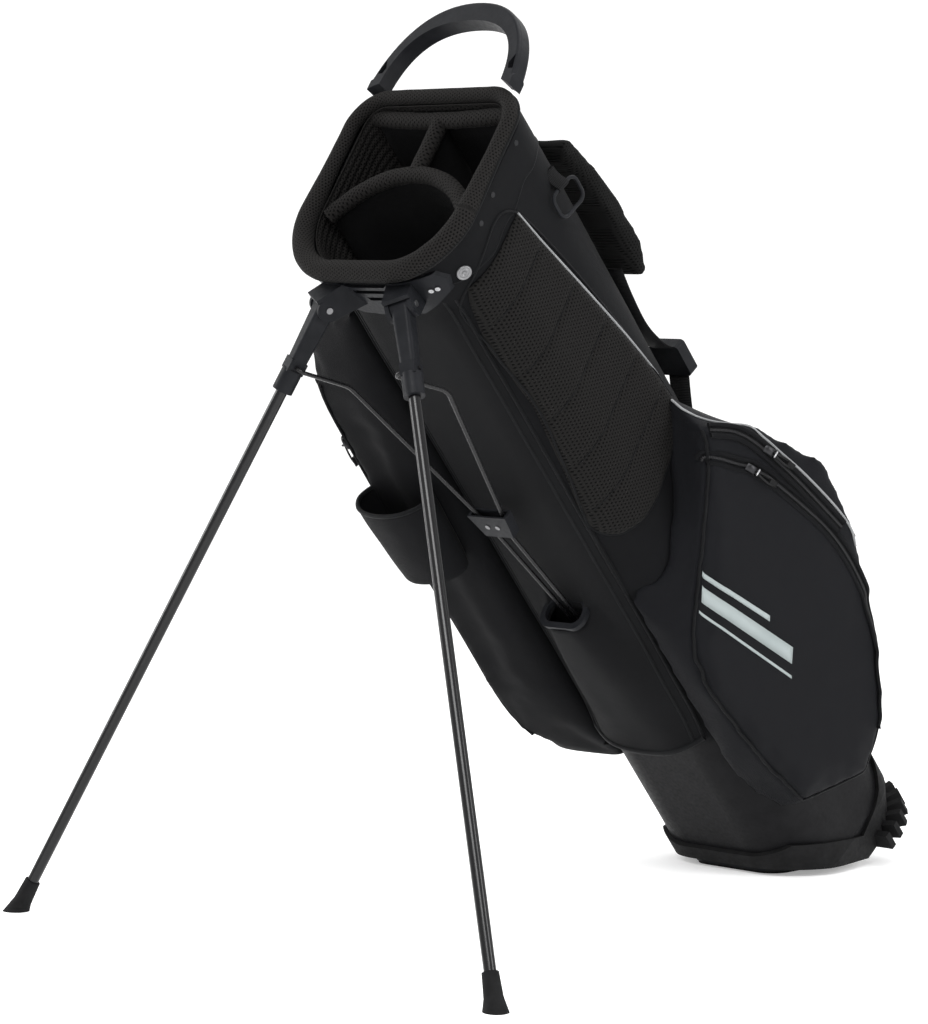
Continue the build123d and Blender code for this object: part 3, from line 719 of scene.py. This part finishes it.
def make_front_panel():
    """The stitched panel down the bag's front, with its channel and overhanging hem."""
    count, wide = 96, 60
    rows = []
    for i in range(count + 1):
        row = []
        for k in range(wide + 1):
            x = PANEL_HALF * (2 * k / wide - 1)
            z = panel_bottom(x) + (PANEL_TOP - panel_bottom(x)) * i / count
            y = front_y(x, z) - 1.4 - 2.2 * (1 - (x / PANEL_HALF) ** 2)
            y -= 0.9 * noise.noise(Vector((x / 34, 1.7, z / 60)))
            y -= channel_height(x, z) + 5.0 * max(0.0, 1 - i / 7) ** 1.5
            row.append(Vector((x, y, z)))
        rows.append(row)
    wires_out = [
        (i, k)
        for i in range(count)
        for k in range(wide)
        if rows[i][k].z < CHANNEL_TOP <= rows[i + 1][k].z and abs(rows[i][k].x + 1) < GUIDE_HALF
    ]
    verts = [p for row in rows for p in row]
    grid = grid_faces(count + 1, wide + 1, False)
    open_cells = {i * wide + k for i, k in wires_out}
    faces = [tuple(reversed(f)) for n, f in enumerate(grid) if n not in open_cells]
    piece = add("front_panel", verts, faces, "panel")
    thickened(piece, 1.2)
    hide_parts("front_channel_cover")
    return piece


def front_seams(skin):
    for side in (-1, 1):
        tag = "right" if side > 0 else "left"
        line = [(side * (PANEL_HALF - 1.5), -95, z) for z in range(262, int(PANEL_TOP), 8)]
        path = evened(laid(skin, line, (0, 1, 0)))
        welt(f"front_welt_{tag}", path, round_profile(1.7, 8, 0.8, 0.4))
        line = [(side * (PANEL_HALF - 11), -95, z) for z in range(258, int(PANEL_TOP), 8)]
        path = evened(laid(skin, line, (0, 1, 0)))
        welt(f"front_fold_{tag}", path, flat_profile(1.6, 0.7))
    line = [(x, -95, panel_bottom(x) + 1.5) for x in range(-72, 73, 4)]
    path = evened(laid(skin, line, (0, 1, 0)), 3)
    welt("front_hem", path, round_profile(3.0, 10, 0.8))


# ------------------------------------------------------------------ collar, rim, dividers
def make_collar():
    rows = []
    count = 22
    for i in range(count + 1):
        row = []
        for s in around(SKIN_COLUMNS):
            low = collar_edge(skin_point(s, BODY_TOP, 0).y)
            top = rim_point(s, 0, RIM_ROLL).z + 2
            z = low + (top - low) * i / count
            wave = noise.noise(Vector((s * 1.3, 7.0, z / 40)))
            row.append(skin_point(s, z, 2.2 + 0.5 * wave))
        rows.append(row)
    piece = cloth_shell("collar_fabric", rows, 1.0, "fabric")
    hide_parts("collar_cover")
    edge = [at(*skin_point(s, collar_edge(skin_point(s, BODY_TOP, 0).y), 2.4)) for s in around(SKIN_COLUMNS)]
    path = [(p, outward(p, at(0, 0, 840))) for p in edge]
    welt("collar_welt", path, round_profile(1.5, 8), closed=True)
    return piece


def outward(point, middle):
    """Away from the bag's long axis."""
    axis = towards(0, 0, 1)
    out = point - middle
    return (out - axis * out.dot(axis)).normalized()


def rim_radius(y):
    """The roll is full at the front and slimmer along the sides and the back."""
    back = max(0.0, min(1.0, (y + 75) / 90))
    return RIM_ROLL - 0.6 - 3.2 * back * back * (3 - 2 * back)


def make_rim():
    """Padded mesh roll round the mouth, a little uneven where it is gathered."""
    up = towards(0, -math.sin(RIM_TILT), math.cos(RIM_TILT))
    line = [rim_point(s) for s in around(240)]
    spots = [at(*p) for p in line]
    sides = 18
    verts, uvs, length = [], [], 0.0
    for i, spot in enumerate(spots):
        along = (spots[(i + 1) % len(spots)] - spots[i - 1]).normalized()
        across = along.cross(up).normalized()
        length += (spot - spots[i - 1]).length / MM if i else 0.0
        radius = rim_radius(line[i].y)
        for k in range(sides):
            turn = 2 * math.pi * k / sides
            wave = noise.noise(Vector((length / 16, math.cos(turn), math.sin(turn))))
            puff = radius * (1 + 0.035 * wave) * MM
            verts.append(spot + (across * math.cos(turn) + up * math.sin(turn)) * puff)
            uvs.append((length, turn * radius))
    faces = grid_faces_closed(len(spots), sides)
    piece = placed("rim_roll", verts, faces, "mesh", "bag", uvs)
    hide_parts("rim_pad")
    middle = at(0, RIM_Y, RIM_Z)
    seam = [
        (spot + (outward(spot, middle) * 0.86 - up * 0.55) * rim_radius(p.y) * MM, up)
        for spot, p in zip(spots, line)
    ]
    welt("rim_binding", seam, round_profile(1.4, 8), closed=True)


def grid_faces_closed(rows, columns):
    """Faces of a grid that closes on itself both ways."""
    faces = []
    for i in range(rows):
        here, ahead = i * columns, ((i + 1) % rows) * columns
        for k in range(columns):
            beside = (k + 1) % columns
            faces.append((here + k, here + beside, ahead + beside, ahead + k))
    return faces


def make_lining():
    """Mesh lining on the inside of the collar, ribbed, and tucked under the roll."""
    rows = []
    count = 60
    for i in range(count + 1):
        row = []
        for s in around(SKIN_COLUMNS):
            top = rim_point(s).z - 4
            z = 800 + (top - 800) * i / count
            deep = top - z
            rib = 0.9 * math.cos(2 * math.pi * deep / 7.5)
            tuck = 4.0 * max(0.0, 1 - deep / 30)
            row.append(skin_point(s, z, -5.2 - rib - tuck))
        rows.append(row)
    verts = [p for row in rows for p in row]
    columns = range(SKIN_COLUMNS)
    uvs = [(8 * k * 80.0 / SKIN_COLUMNS, i * 1.8) for i in range(count + 1) for k in columns]
    faces = grid_faces(count + 1, SKIN_COLUMNS, True)
    piece = add("collar_lining", verts, faces, "mesh", "bag", uvs)
    thickened(piece, 0.8)


def rim_height(y):
    return RIM_Z + (y - RIM_Y) * math.tan(RIM_TILT)


def on_rim(x, y, drop=DIVIDER_DROP):
    return Vector((x, y, rim_height(y) - drop))


def arc_depth(x):
    return -1.0 - (ARC_R - math.sqrt(ARC_R**2 - x**2))


def padded_bar(name, line, node, radius=DIVIDER_ROLL):
    """A padded mesh bar along a line of bag-frame points."""
    up = towards(0, -math.sin(RIM_TILT), math.cos(RIM_TILT))
    path = [(at(*p), up) for p in smooth_path(line, 3.0)]
    piece = swept(name, path, round_profile(radius, 16), "mesh")
    normals = [v.normal.copy() for v in piece.data.vertices]
    for vertex, normal in zip(piece.data.vertices, normals):
        vertex.co += normal * 0.45 * noise.noise(TO_BAG @ vertex.co / 13) * MM
    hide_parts(node)
    return piece


def make_dividers():
    back = [on_rim(x, BACK_DIVIDER_Y - 2.5 + 0.0006 * x * x) for x in range(-90, 91, 15)]
    padded_bar("divider_bar_back", back, "divider_pad_back")
    centre = [on_rim(0, y) for y in (2, 20, 40, BACK_DIVIDER_Y - 3)]
    padded_bar("divider_bar_centre", centre, "divider_pad_centre")
    front = [on_rim(x, arc_depth(x)) for x in range(-90, 91, 15)]
    padded_bar("divider_bar_front", front, "divider_pad_front")


def make_divider_sheet(name, node, plan):
    """Full-length divider cloth, hung in slow waves from its padded bar."""
    low, high = 120.0, [rim_height(y) - DIVIDER_DROP - DIVIDER_ROLL * 0.5 for _, y in plan]
    rows = []
    count = 60
    for i in range(count + 1):
        row = []
        for (x, y), top in zip(plan, high):
            z = low + (top - low) * i / count
            wave = 0.5 * noise.noise(Vector((x / 40, y / 40, z / 110)))
            row.append(Vector((x, y + wave, z)))
        rows.append(row)
    piece = cloth_shell(name, rows, 0.9, "lining", closed=False)
    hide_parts(node)
    return piece


def make_divider_sheets():
    back = [(x, BACK_DIVIDER_Y) for x in range(-88, 89, 8)]
    make_divider_sheet("divider_cloth_back", "divider_sheet_back", back)
    centre = [(0, y) for y in range(2, int(BACK_DIVIDER_Y), 5)]
    make_divider_sheet("divider_cloth_centre", "divider_sheet_centre", centre)
    front = [(x, arc_depth(x)) for x in range(-88, 89, 8)]
    make_divider_sheet("divider_cloth_front", "divider_sheet_front", front)


# ------------------------------------------------------------------ pockets
APPAREL_X = -166.0
APPAREL_ZIP_Y = -104
BALL_FACE_SEAM = [
    (151, 29, 559), (147, 14, 518), (135, -27, 459), (125, -62, 409), (119, -83, 376), (117, -91, 345),
    (117, -90, 318), (119, -84, 250), (123, -69, 162), (127, -57, 143), (145, 11, 121), (158, 54, 157),
]
BALL_ZIP_LINE = [
    (145, 2, 536), (148, 22, 529), (153, 43, 503), (157, 56, 485), (162, 72, 443), (168, 92, 374),
    (170, 97, 307), (168, 90, 245), (161, 66, 182), (155, 46, 150),
]
UPPER_ZIP_LINE = [(150, 36, 550), (157, 58, 528), (162, 72, 496), (167, 88, 440), (172, 104, 370)]
BALL_PIPING = [
    (112, 38, 618), (126, 52, 594), (142, 60, 566), (152, 68, 540), (160, 78, 505), (168, 98, 440),
    (173, 112, 372), (172, 110, 340),
]
THIN_STRIPE = [((-39, 437), (-2, 349)), ((-42, 433), (-5, 344))]
WIDE_STRIPE = [((-46, 425), (3, 303)), ((-54, 411), (-6, 289))]
HAIR_STRIPE = [((-60, 406), (-12, 279)), ((-61.5, 403), (-13.5, 276))]
FACE_TURN, ZIP_FALL = 15.64, 22.9    # how the pocket's face and its zips are turned, in degrees
PULL_PIVOT = (8.4, 0, -3)            # a pull's pin in its zip's frame


def face_x(y):
    return 120 + 0.28 * (y + 80)


def make_ball_pocket(body_tree):
    piece = relaxed(remeshed("ball_pocket_fabric", "ball_pocket", 5.0), 5)
    held = close_to(piece, body_tree, 7.0)
    piece = puffed(piece, 4.0, 2.2, held)
    piece = refined(relaxed(piece, 6))
    crumpled(piece, 60, 0.5, 3, (1, 1, 2))
    tree = tree_of(piece)
    seam = laid(tree, smooth_path(BALL_FACE_SEAM, 4))
    creased(piece, seam, 6.0, 1.6)
    zip_path = laid(tree, smooth_path(BALL_ZIP_LINE, 4))
    creased(piece, zip_path, 9.0, 1.6)
    soft(piece, "face", ["ball_pocket"])
    return piece


def zip_run(name, path, tags):
    """A zip along a laid path: tape, two folded edges and the coil between them."""
    welt(f"{name}_tape", path, flat_profile(8.0, 0.6, -0.2))
    for side, tag in zip((-1, 1), tags):
        edge = [(side * 5.4 + a, h) for a, h in round_profile(2.4, 8, 0.7, 0.8)]
        swept(f"{name}_edge_{tag}", path, edge, "fabric")
    swept(f"{name}_coil", path, round_profile(1.5, 8, 0.7, 0.9), "zip")


def zip_frame(x, y, z, turn, fall):
    """Places a zip's small parts: x out of the face, z up the zip, in bag mm."""
    spin = Matrix.Rotation(math.radians(turn), 4, "Z") @ Matrix.Rotation(math.radians(fall), 4, "X")
    return TO_PART @ Matrix.Translation((x, y, z)) @ spin


def make_zip_parts(name, frame_at):
    """A slider with a domed bridge, and a looped cord pull with a moulded end."""
    x, _, z = PULL_PIVOT
    out, across = [frame_at.to_3x3() @ Vector(way) for way in ((1, 0, 0), (0, 1, 0))]

    def line(points, normal=out):
        return [(frame_at @ Vector(p), normal) for p in points]

    bridge = ((0.4, -6.5), (2.2, -5), (3.4, -1.5), (3.4, 2), (2.2, 5.5), (0.4, 7))
    runner = swept(
        f"{name}_zip_runner", line([(1.2 + h, 0, v) for h, v in bridge]), flat_profile(3.6, 2.0, 0),
        "dark_metal", f"{name}_slider",
    )
    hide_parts(f"{name}_zip_slider")
    pin = line([(x, w, z) for w in (-3.4, 0, 3.4)])
    swept(f"{name}_zip_pin", pin, round_profile(1.0, 8), "silver", f"{name}_slider")
    for side, tag in ((-1, "a"), (1, "b")):
        lug = line([(4.2 + h, 3.4 * side, z) for h in (0, 2.4, 4.8)], across)
        profile = round_profile(0.8, 8)
        swept(f"{name}_zip_lug_{tag}", lug, profile, "dark_metal", f"{name}_slider")
    loop = []
    for k in range(24):
        turn = 2 * math.pi * k / 24
        width = 3.4 * math.sin(turn) * (0.75 - 0.25 * math.cos(turn))
        loop.append((x - 0.6, width, z - 12.5 + 13.6 * math.cos(turn)))
    cord = swept(
        f"{name}_zip_cord", line(loop), round_profile(1.0, 8), "pull", f"{name}_pull",
        closed=True,
    )
    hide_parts(f"{name}_zip_pull")
    grip = line([(x - 0.6, 0, z - v) for v in (17.5, 19, 22, 25.5, 27)])
    swept(f"{name}_zip_grip", grip, flat_profile(3.1, 2.6, -1.3), "rubber", f"{name}_pull")


def stripe(name, tree, edges, count=30):
    """A printed stripe: a thin skin between two straight edges on the pocket's face."""
    verts = []
    for i in range(count + 1):
        for (y0, z0), (y1, z1) in edges:
            y, z = y0 + (y1 - y0) * i / count, z0 + (z1 - z0) * i / count
            spot, normal = laid(tree, [(face_x(y), y, z)])[0]
            verts.append(TO_BAG @ (spot + normal * 0.35 * MM))
    faces = [(2 * i, 2 * i + 2, 2 * i + 3, 2 * i + 1) for i in range(count)]
    piece = add(name, verts, faces, "print")
    return thickened(piece, 0.3, offset=0)


def ball_pocket_details(tree):
    make_zip_parts("ball", zip_frame(face_x(52), 52, 488, -FACE_TURN, ZIP_FALL))
    make_zip_parts("upper", zip_frame(face_x(76), 76, 490, -FACE_TURN, ZIP_FALL))
    seam = evened(laid(tree, smooth_path(BALL_FACE_SEAM, 3)), 3)
    welt("ball_pocket_welt", seam, round_profile(1.7, 8, 0.9, 0.6))
    for name, line in (("ball_zip", BALL_ZIP_LINE), ("upper_zip", UPPER_ZIP_LINE)):
        path = evened(laid(tree, smooth_path(line, 3)), 4)
        zip_run(name, path, ("lower", "upper"))
    piping = evened(laid(tree, smooth_path(BALL_PIPING, 3)), 3)
    swept("pocket_piping", piping, round_profile(1.3, 8, 0.8, 0.6), "piping")
    stripe("stripe_thin", tree, THIN_STRIPE)
    stripe("stripe_wide", tree, WIDE_STRIPE)
    stripe("stripe_hair", tree, HAIR_STRIPE)


def make_apparel_pocket(body_tree):
    piece = relaxed(remeshed("apparel_pocket_fabric", "apparel_pocket", 6.0), 8)
    held = close_to(piece, body_tree, 8.0)
    piece = puffed(piece, 3.5, 8.0, held)
    piece = refined(relaxed(piece, 4))
    crumpled(piece, 75, 1.6, 9, (1, 1, 2))
    soft(piece, "fabric", ["apparel_pocket"])
    return piece


def apparel_details(tree):
    make_zip_parts("apparel", zip_frame(APPAREL_X, APPAREL_ZIP_Y, 640, 180, 0))
    line = [(-300, APPAREL_ZIP_Y, z) for z in range(250, 721, 15)]
    path = evened(laid(tree, line, (1, 0, 0)), 3)
    zip_run("apparel_zip", path, ("a", "b"))


def make_sleeve():
    """Open fabric cup for a bottle, with a hem round its mouth."""
    middle, height = Vector((-118, -126, 500)), 90.0
    rows = []
    for i in range(25):
        t = i / 24
        row = []
        for k in range(72):
            turn = 2 * math.pi * k / 72
            slack = 1 + 0.04 * t - 0.10 * (1 - t) ** 2
            wave = 1 + 0.02 * noise.noise(Vector((math.cos(turn) * 2, math.sin(turn) * 2, t * 3)))
            wide, deep = 44 * slack * wave, 26 * slack * wave
            row.append(middle + Vector((wide * math.cos(turn), deep * math.sin(turn), height * t)))
        rows.append(row)
    piece = cloth_shell("sleeve_fabric", rows, 1.2, "fabric")
    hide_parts("bottle_sleeve")
    hem = [(at(*p), outward(at(*p), at(*middle))) for p in rows[-1]]
    welt("sleeve_hem", hem, round_profile(2.2, 8), closed=True)


# ------------------------------------------------------------------ hip panel
HIP_OUTLINE = [
    (-2, 838), (-79, 813), (-83, 748), (-77, 671), (-80, 601), (-84, 542), (-80, 520), (-68, 508),
    (-45, 506), (-16, 512), (31, 534), (54, 553), (60, 566), (58, 593),
]
HIP_PIPING = [(-2, 838), (20, 752), (40, 672), (58, 597)]
QUILT = [((-83, 765), (12, 800)), ((-80, 706), (26, 745)), ((-79, 650), (38, 692)),
         ((-82, 594), (50, 640)), ((-84, 545), (58, 592))]


def edge_gap(p, line):
    """Distance from a flat point to the nearest stretch of a flat line, in mm."""
    best = 1e9
    for a, b in zip(line, line[1:]):
        a, b = Vector(a), Vector(b)
        t = max(0.0, min(1.0, (p - a).dot(b - a) / (b - a).length_squared))
        best = min(best, (p - a - (b - a) * t).length)
    return best


def patch(outline, step):
    """Even triangles that fill a flat outline, with its border kept."""
    loop = outline + outline[:1]
    border = []
    for a, b in zip(loop, loop[1:]):
        a, b = Vector(a), Vector(b)
        count = max(1, round((b - a).length / step))
        border += [a.lerp(b, k / count) for k in range(count)]
    low = [min(p[i] for p in outline) for i in (0, 1)]
    high = [max(p[i] for p in outline) for i in (0, 1)]
    inside = []
    for i in range(int((high[1] - low[1]) / step) + 1):
        for k in range(int((high[0] - low[0]) / step) + 2):
            p = Vector((low[0] + (k + 0.5 * (i % 2)) * step, low[1] + i * step))
            if edge_gap(p, loop) > 0.6 * step:
                inside.append(p)
    count = len(border)
    edges = [(k, (k + 1) % count) for k in range(count)]
    verts, _, faces, *_ = delaunay_2d_cdt(border + inside, edges, [], 1, 0.01)
    return verts, faces


def make_hip_pad(skin):
    """Quilted mesh panel: soft channels between sewn lines, thin at its edge."""
    flat, faces = patch(HIP_OUTLINE, 3.0)
    loop = HIP_OUTLINE + HIP_OUTLINE[:1]
    verts = []
    for p in flat:
        spot, normal = laid(skin, [(200, p.x, p.y)], (-1, 0, 0))[0]
        edge = min(1.0, edge_gap(p, loop) / 9.0)
        seam = min(1.0, min(edge_gap(p, line) for line in QUILT) / 7.0)
        height = 1.4 + 4.2 * math.sin(0.5 * math.pi * edge) * (0.5 + 0.5 * math.sin(0.5 * math.pi * seam))
        height += 0.4 * noise.noise(Vector((p.x / 22, p.y / 22, 3)))
        verts.append(TO_BAG @ (spot + normal * height * MM))
    piece = add("hip_panel_mesh", verts, faces, "panel_mesh")
    facing_out(piece, towards(1, 0, 0))
    thickened(piece, 1.2)
    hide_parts("hip_pad")
    return piece


def facing_out(piece, way):
    """Turn an open sheet so that its faces look along a direction."""
    total = sum((face.normal * face.area for face in piece.data.polygons), Vector())
    if total.dot(way) < 0:
        piece.data.flip_normals()


def hip_details(tree):
    for i, line in enumerate(QUILT):
        points = smooth_path([(200, y, z) for y, z in line], 4)
        path = evened(laid(tree, points, (-1, 0, 0)))
        welt(f"quilt_seam_{i + 1}", path, round_profile(0.6, 6, 0.8, 0.1))
    loop = [(200, y, z) for y, z in HIP_OUTLINE]
    path = evened(laid(tree, smooth_path(loop, 4, closed=True), (-1, 0, 0)), 3)
    welt("hip_welt", path, round_profile(1.3, 8, 0.9, 0.4), closed=True)
    points = smooth_path([(200, y, z) for y, z in HIP_PIPING], 3)
    path = evened(laid(tree, points, (-1, 0, 0)), 3)
    swept("hip_piping", path, round_profile(1.2, 8, 0.9, 1.3), "piping")


# ------------------------------------------------------------------ straps
def make_shoulder_pads():
    for tag in ("right", "left"):
        node = f"shoulder_pad_{tag}"
        piece = relaxed(remeshed(f"strap_pad_{tag}", node, 4.0, 1.0), 4)
        piece = puffed(piece, 4.0, 3.0)
        piece = refined(relaxed(piece, 2))
        crumpled(piece, 40, 0.8, 5)
        soft(piece, "pad_mesh", [node])


def make_webbing():
    run = [(101, 690), (97, 660), (96, 625), (104, 596), (117, 574), (114, 556), (103, 536), (92.6, 517)]
    for side, tag in ((1, "right"), (-1, "left")):
        points = smooth_path([(side * STRAP_X, y, z) for y, z in run], 3)
        path = [(at(*p), towards(0, 1, 0.15)) for p in points]
        strap = swept(f"webbing_{tag}", path, flat_profile(12.5, 1.9, -0.9), "webbing")
        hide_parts(f"strap_webbing_{tag}")


def make_loops(skin):
    """Folded webbing tabs: one low at the front, one that holds the towel ring."""
    low, high = [laid(skin, [(-62, -99, z)])[0] for z in (152, 192)]
    out = (low[1] + high[1]).normalized()
    path = []
    for k in range(13):
        turn = math.pi * k / 12
        spot = low[0].lerp(high[0], 0.5 - 0.5 * math.cos(turn)) + out * 7.5 * math.sin(turn) * MM
        path.append((spot, (out - towards(0, 0, math.cos(turn))).normalized()))
    piece = swept("front_loop", path, flat_profile(11.0, 2.2, -1.1), "webbing")
    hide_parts("front_loop_tab")
    low, high = bag_box("towel_ring_tab")
    middle = (low + high) / 2
    hinge = Vector((middle.x, middle.y, low.z + 3.8))
    rows = [(-7.6, 17.5), (-7.0, 12), (-5.4, 6), (-3.6, 2.0), (-3.1, -1.4), (0, -3.1), (3.1, -1.4),
            (3.4, 1.6), (-1.6, 6.2), (-4.6, 12), (-5.4, 17.5)]
    line = smooth_path([(hinge.x + u, hinge.y, hinge.z + v) for u, v in rows], 2)
    path = []
    for i, p in enumerate(line):
        ahead, behind = line[min(i + 1, len(line) - 1)], line[max(i - 1, 0)]
        along = (Vector(ahead) - Vector(behind)).normalized()
        path.append((at(*p), towards(along.z, 0, -along.x)))
    tab = swept("towel_tab", path, flat_profile(7.4, 1.2, -0.6), "webbing")
    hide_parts("towel_ring_tab")


def bag_box(node):
    """Lowest and highest corners of a CAD node along the bag's own axes."""
    spots = [TO_BAG @ v.co for v in nodes[node].data.vertices]
    return [Vector([pick(p[i] for p in spots) for i in range(3)]) for pick in (min, max)]


# Radius and height of each ring of a dished screw head.
SCREW_PROFILE = [
    (0.0, 0.4), (2.2, 0.5), (2.6, 1.5), (4.2, 1.6), (4.6, 0.9), (5.4, 1.0), (6.0, 1.7), (7.0, 1.5),
    (7.4, 0.2), (7.3, -1.0),
]


def make_collar_screws(skin):
    """Dished screw heads at the collar's front corners: a bright rim round a dark socket."""
    for side, tag in ((1, "right"), (-1, "left")):
        spot, out = laid(skin, [(side * 91, -78, 830.5)])[0]
        across = out.cross(towards(0, 0, 1)).normalized()
        other = out.cross(across)
        verts = [spot + out * SCREW_PROFILE[0][1] * MM]
        for radius, height in SCREW_PROFILE[1:]:
            for k in range(32):
                turn = 2 * math.pi * k / 32
                flat = across * math.cos(turn) + other * math.sin(turn)
                verts.append(spot + (flat * radius + out * height) * MM)
        faces = [(0, 1 + k, 1 + (k + 1) % 32) for k in range(32)]
        for r in range(len(SCREW_PROFILE) - 2):
            base = 1 + 32 * r
            faces += [(base + k, base + 32 + k, base + 32 + (k + 1) % 32, base + (k + 1) % 32)
                      for k in range(32)]
        faces.append([len(verts) - 1 - k for k in range(32)])
        piece = placed(f"collar_screw_{tag}", verts, faces, "steel")
        facing_out(piece, out)
        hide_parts("collar_screws")


# ------------------------------------------------------------------ whole object
def make_goods():
    body = make_body()
    panel = make_front_panel()
    front_seams(tree_of(panel))
    collar = make_collar()
    make_rim()
    make_lining()
    make_dividers()
    make_divider_sheets()
    body_tree = tree_of(nodes["bag_body"], nodes["top_collar"], nodes["base_boot"])
    ball = make_ball_pocket(body_tree)
    ball_pocket_details(tree_of(ball))
    apparel = make_apparel_pocket(body_tree)
    apparel_details(tree_of(apparel))
    make_sleeve()
    skin = tree_of(body, collar)
    hip = make_hip_pad(skin)
    hip_details(tree_of(hip, body, collar))
    make_collar_screws(skin)
    make_shoulder_pads()
    make_webbing()
    make_loops(skin)


# ------------------------------------------------------------------ camera, light, floor
def stage():
    """A floor that sweeps up into a backdrop far behind, all one pale sheet."""
    rows = [(-9.0, 0.0)]
    for i in range(40):
        angle = math.radians(90) * i / 39
        rows.append((7.0 + 4.0 * math.sin(angle), 4.0 - 4.0 * math.cos(angle)))
    rows.append((11.0, 14.0))
    away = Vector((-0.7117, 0.7025, 0.0))
    side = Vector((0.7025, 0.7117, 0.0))
    verts = [away * d + side * w + Vector((0, 0, h)) for d, h in rows for w in (-16, 16)]
    faces = [(2 * i, 2 * i + 1, 2 * i + 3, 2 * i + 2) for i in range(len(rows) - 1)]
    mesh = bpy.data.meshes.new("floor")
    mesh.from_pydata(verts, [], faces)
    for face in mesh.polygons:
        face.use_smooth = True
    floor = bpy.data.objects.new("floor", mesh)
    pale = Shader("pale_floor", (0.9, 0.9, 0.9), 0.95)
    pale.set("Specular IOR Level", 0.1)
    pale.set("Emission Color", (1.0, 1.0, 1.0, 1.0))
    pale.set("Emission Strength", 0.3)
    mesh.materials.append(pale.material)
    bpy.context.scene.collection.objects.link(floor)
    world = bpy.data.worlds.new("soft_light")
    world.use_nodes = True
    world.node_tree.nodes["Background"].inputs["Color"].default_value = (1, 1, 1, 1)
    world.node_tree.nodes["Background"].inputs["Strength"].default_value = 0.8
    bpy.context.scene.world = world
    bpy.context.scene.view_settings.view_transform = "Standard"


def lamp(name, spot, aim, size, power):
    data = bpy.data.lights.new(name, "AREA")
    data.shape = "RECTANGLE"
    data.size, data.size_y = size
    data.energy = power
    light = bpy.data.objects.new(name, data)
    light.location = spot
    light.rotation_euler = (Vector(aim) - Vector(spot)).to_track_quat("-Z", "Y").to_euler()
    bpy.context.scene.collection.objects.link(light)


def lights():
    middle = (0.0, -0.15, 0.4)
    lamp("key", (1.2, -2.4, 2.6), middle, (1.6, 1.2), 60)
    lamp("side", (3.0, 0.6, 1.4), middle, (1.0, 2.0), 45)
    lamp("left", (-2.4, -1.6, 1.6), middle, (0.8, 2.0), 35)
    lamp("top", (0.2, 0.6, 3.0), middle, (2.0, 2.0), 40)


def camera():
    data = bpy.data.cameras.new("camera")
    data.sensor_fit = "VERTICAL"
    data.angle = math.radians(15.717)
    data.clip_end = 50
    view = bpy.data.objects.new("camera", data)
    spot, aim = Vector((2.4508, -2.8483, 0.6428)), Vector((-0.2451, -0.1872, 0.3551))
    view.location = spot
    view.rotation_euler = (aim - spot).to_track_quat("-Z", "Y").to_euler()
    bpy.context.scene.collection.objects.link(view)
    bpy.context.scene.camera = view


stage()
lights()
camera()
dress_nodes()
make_goods()
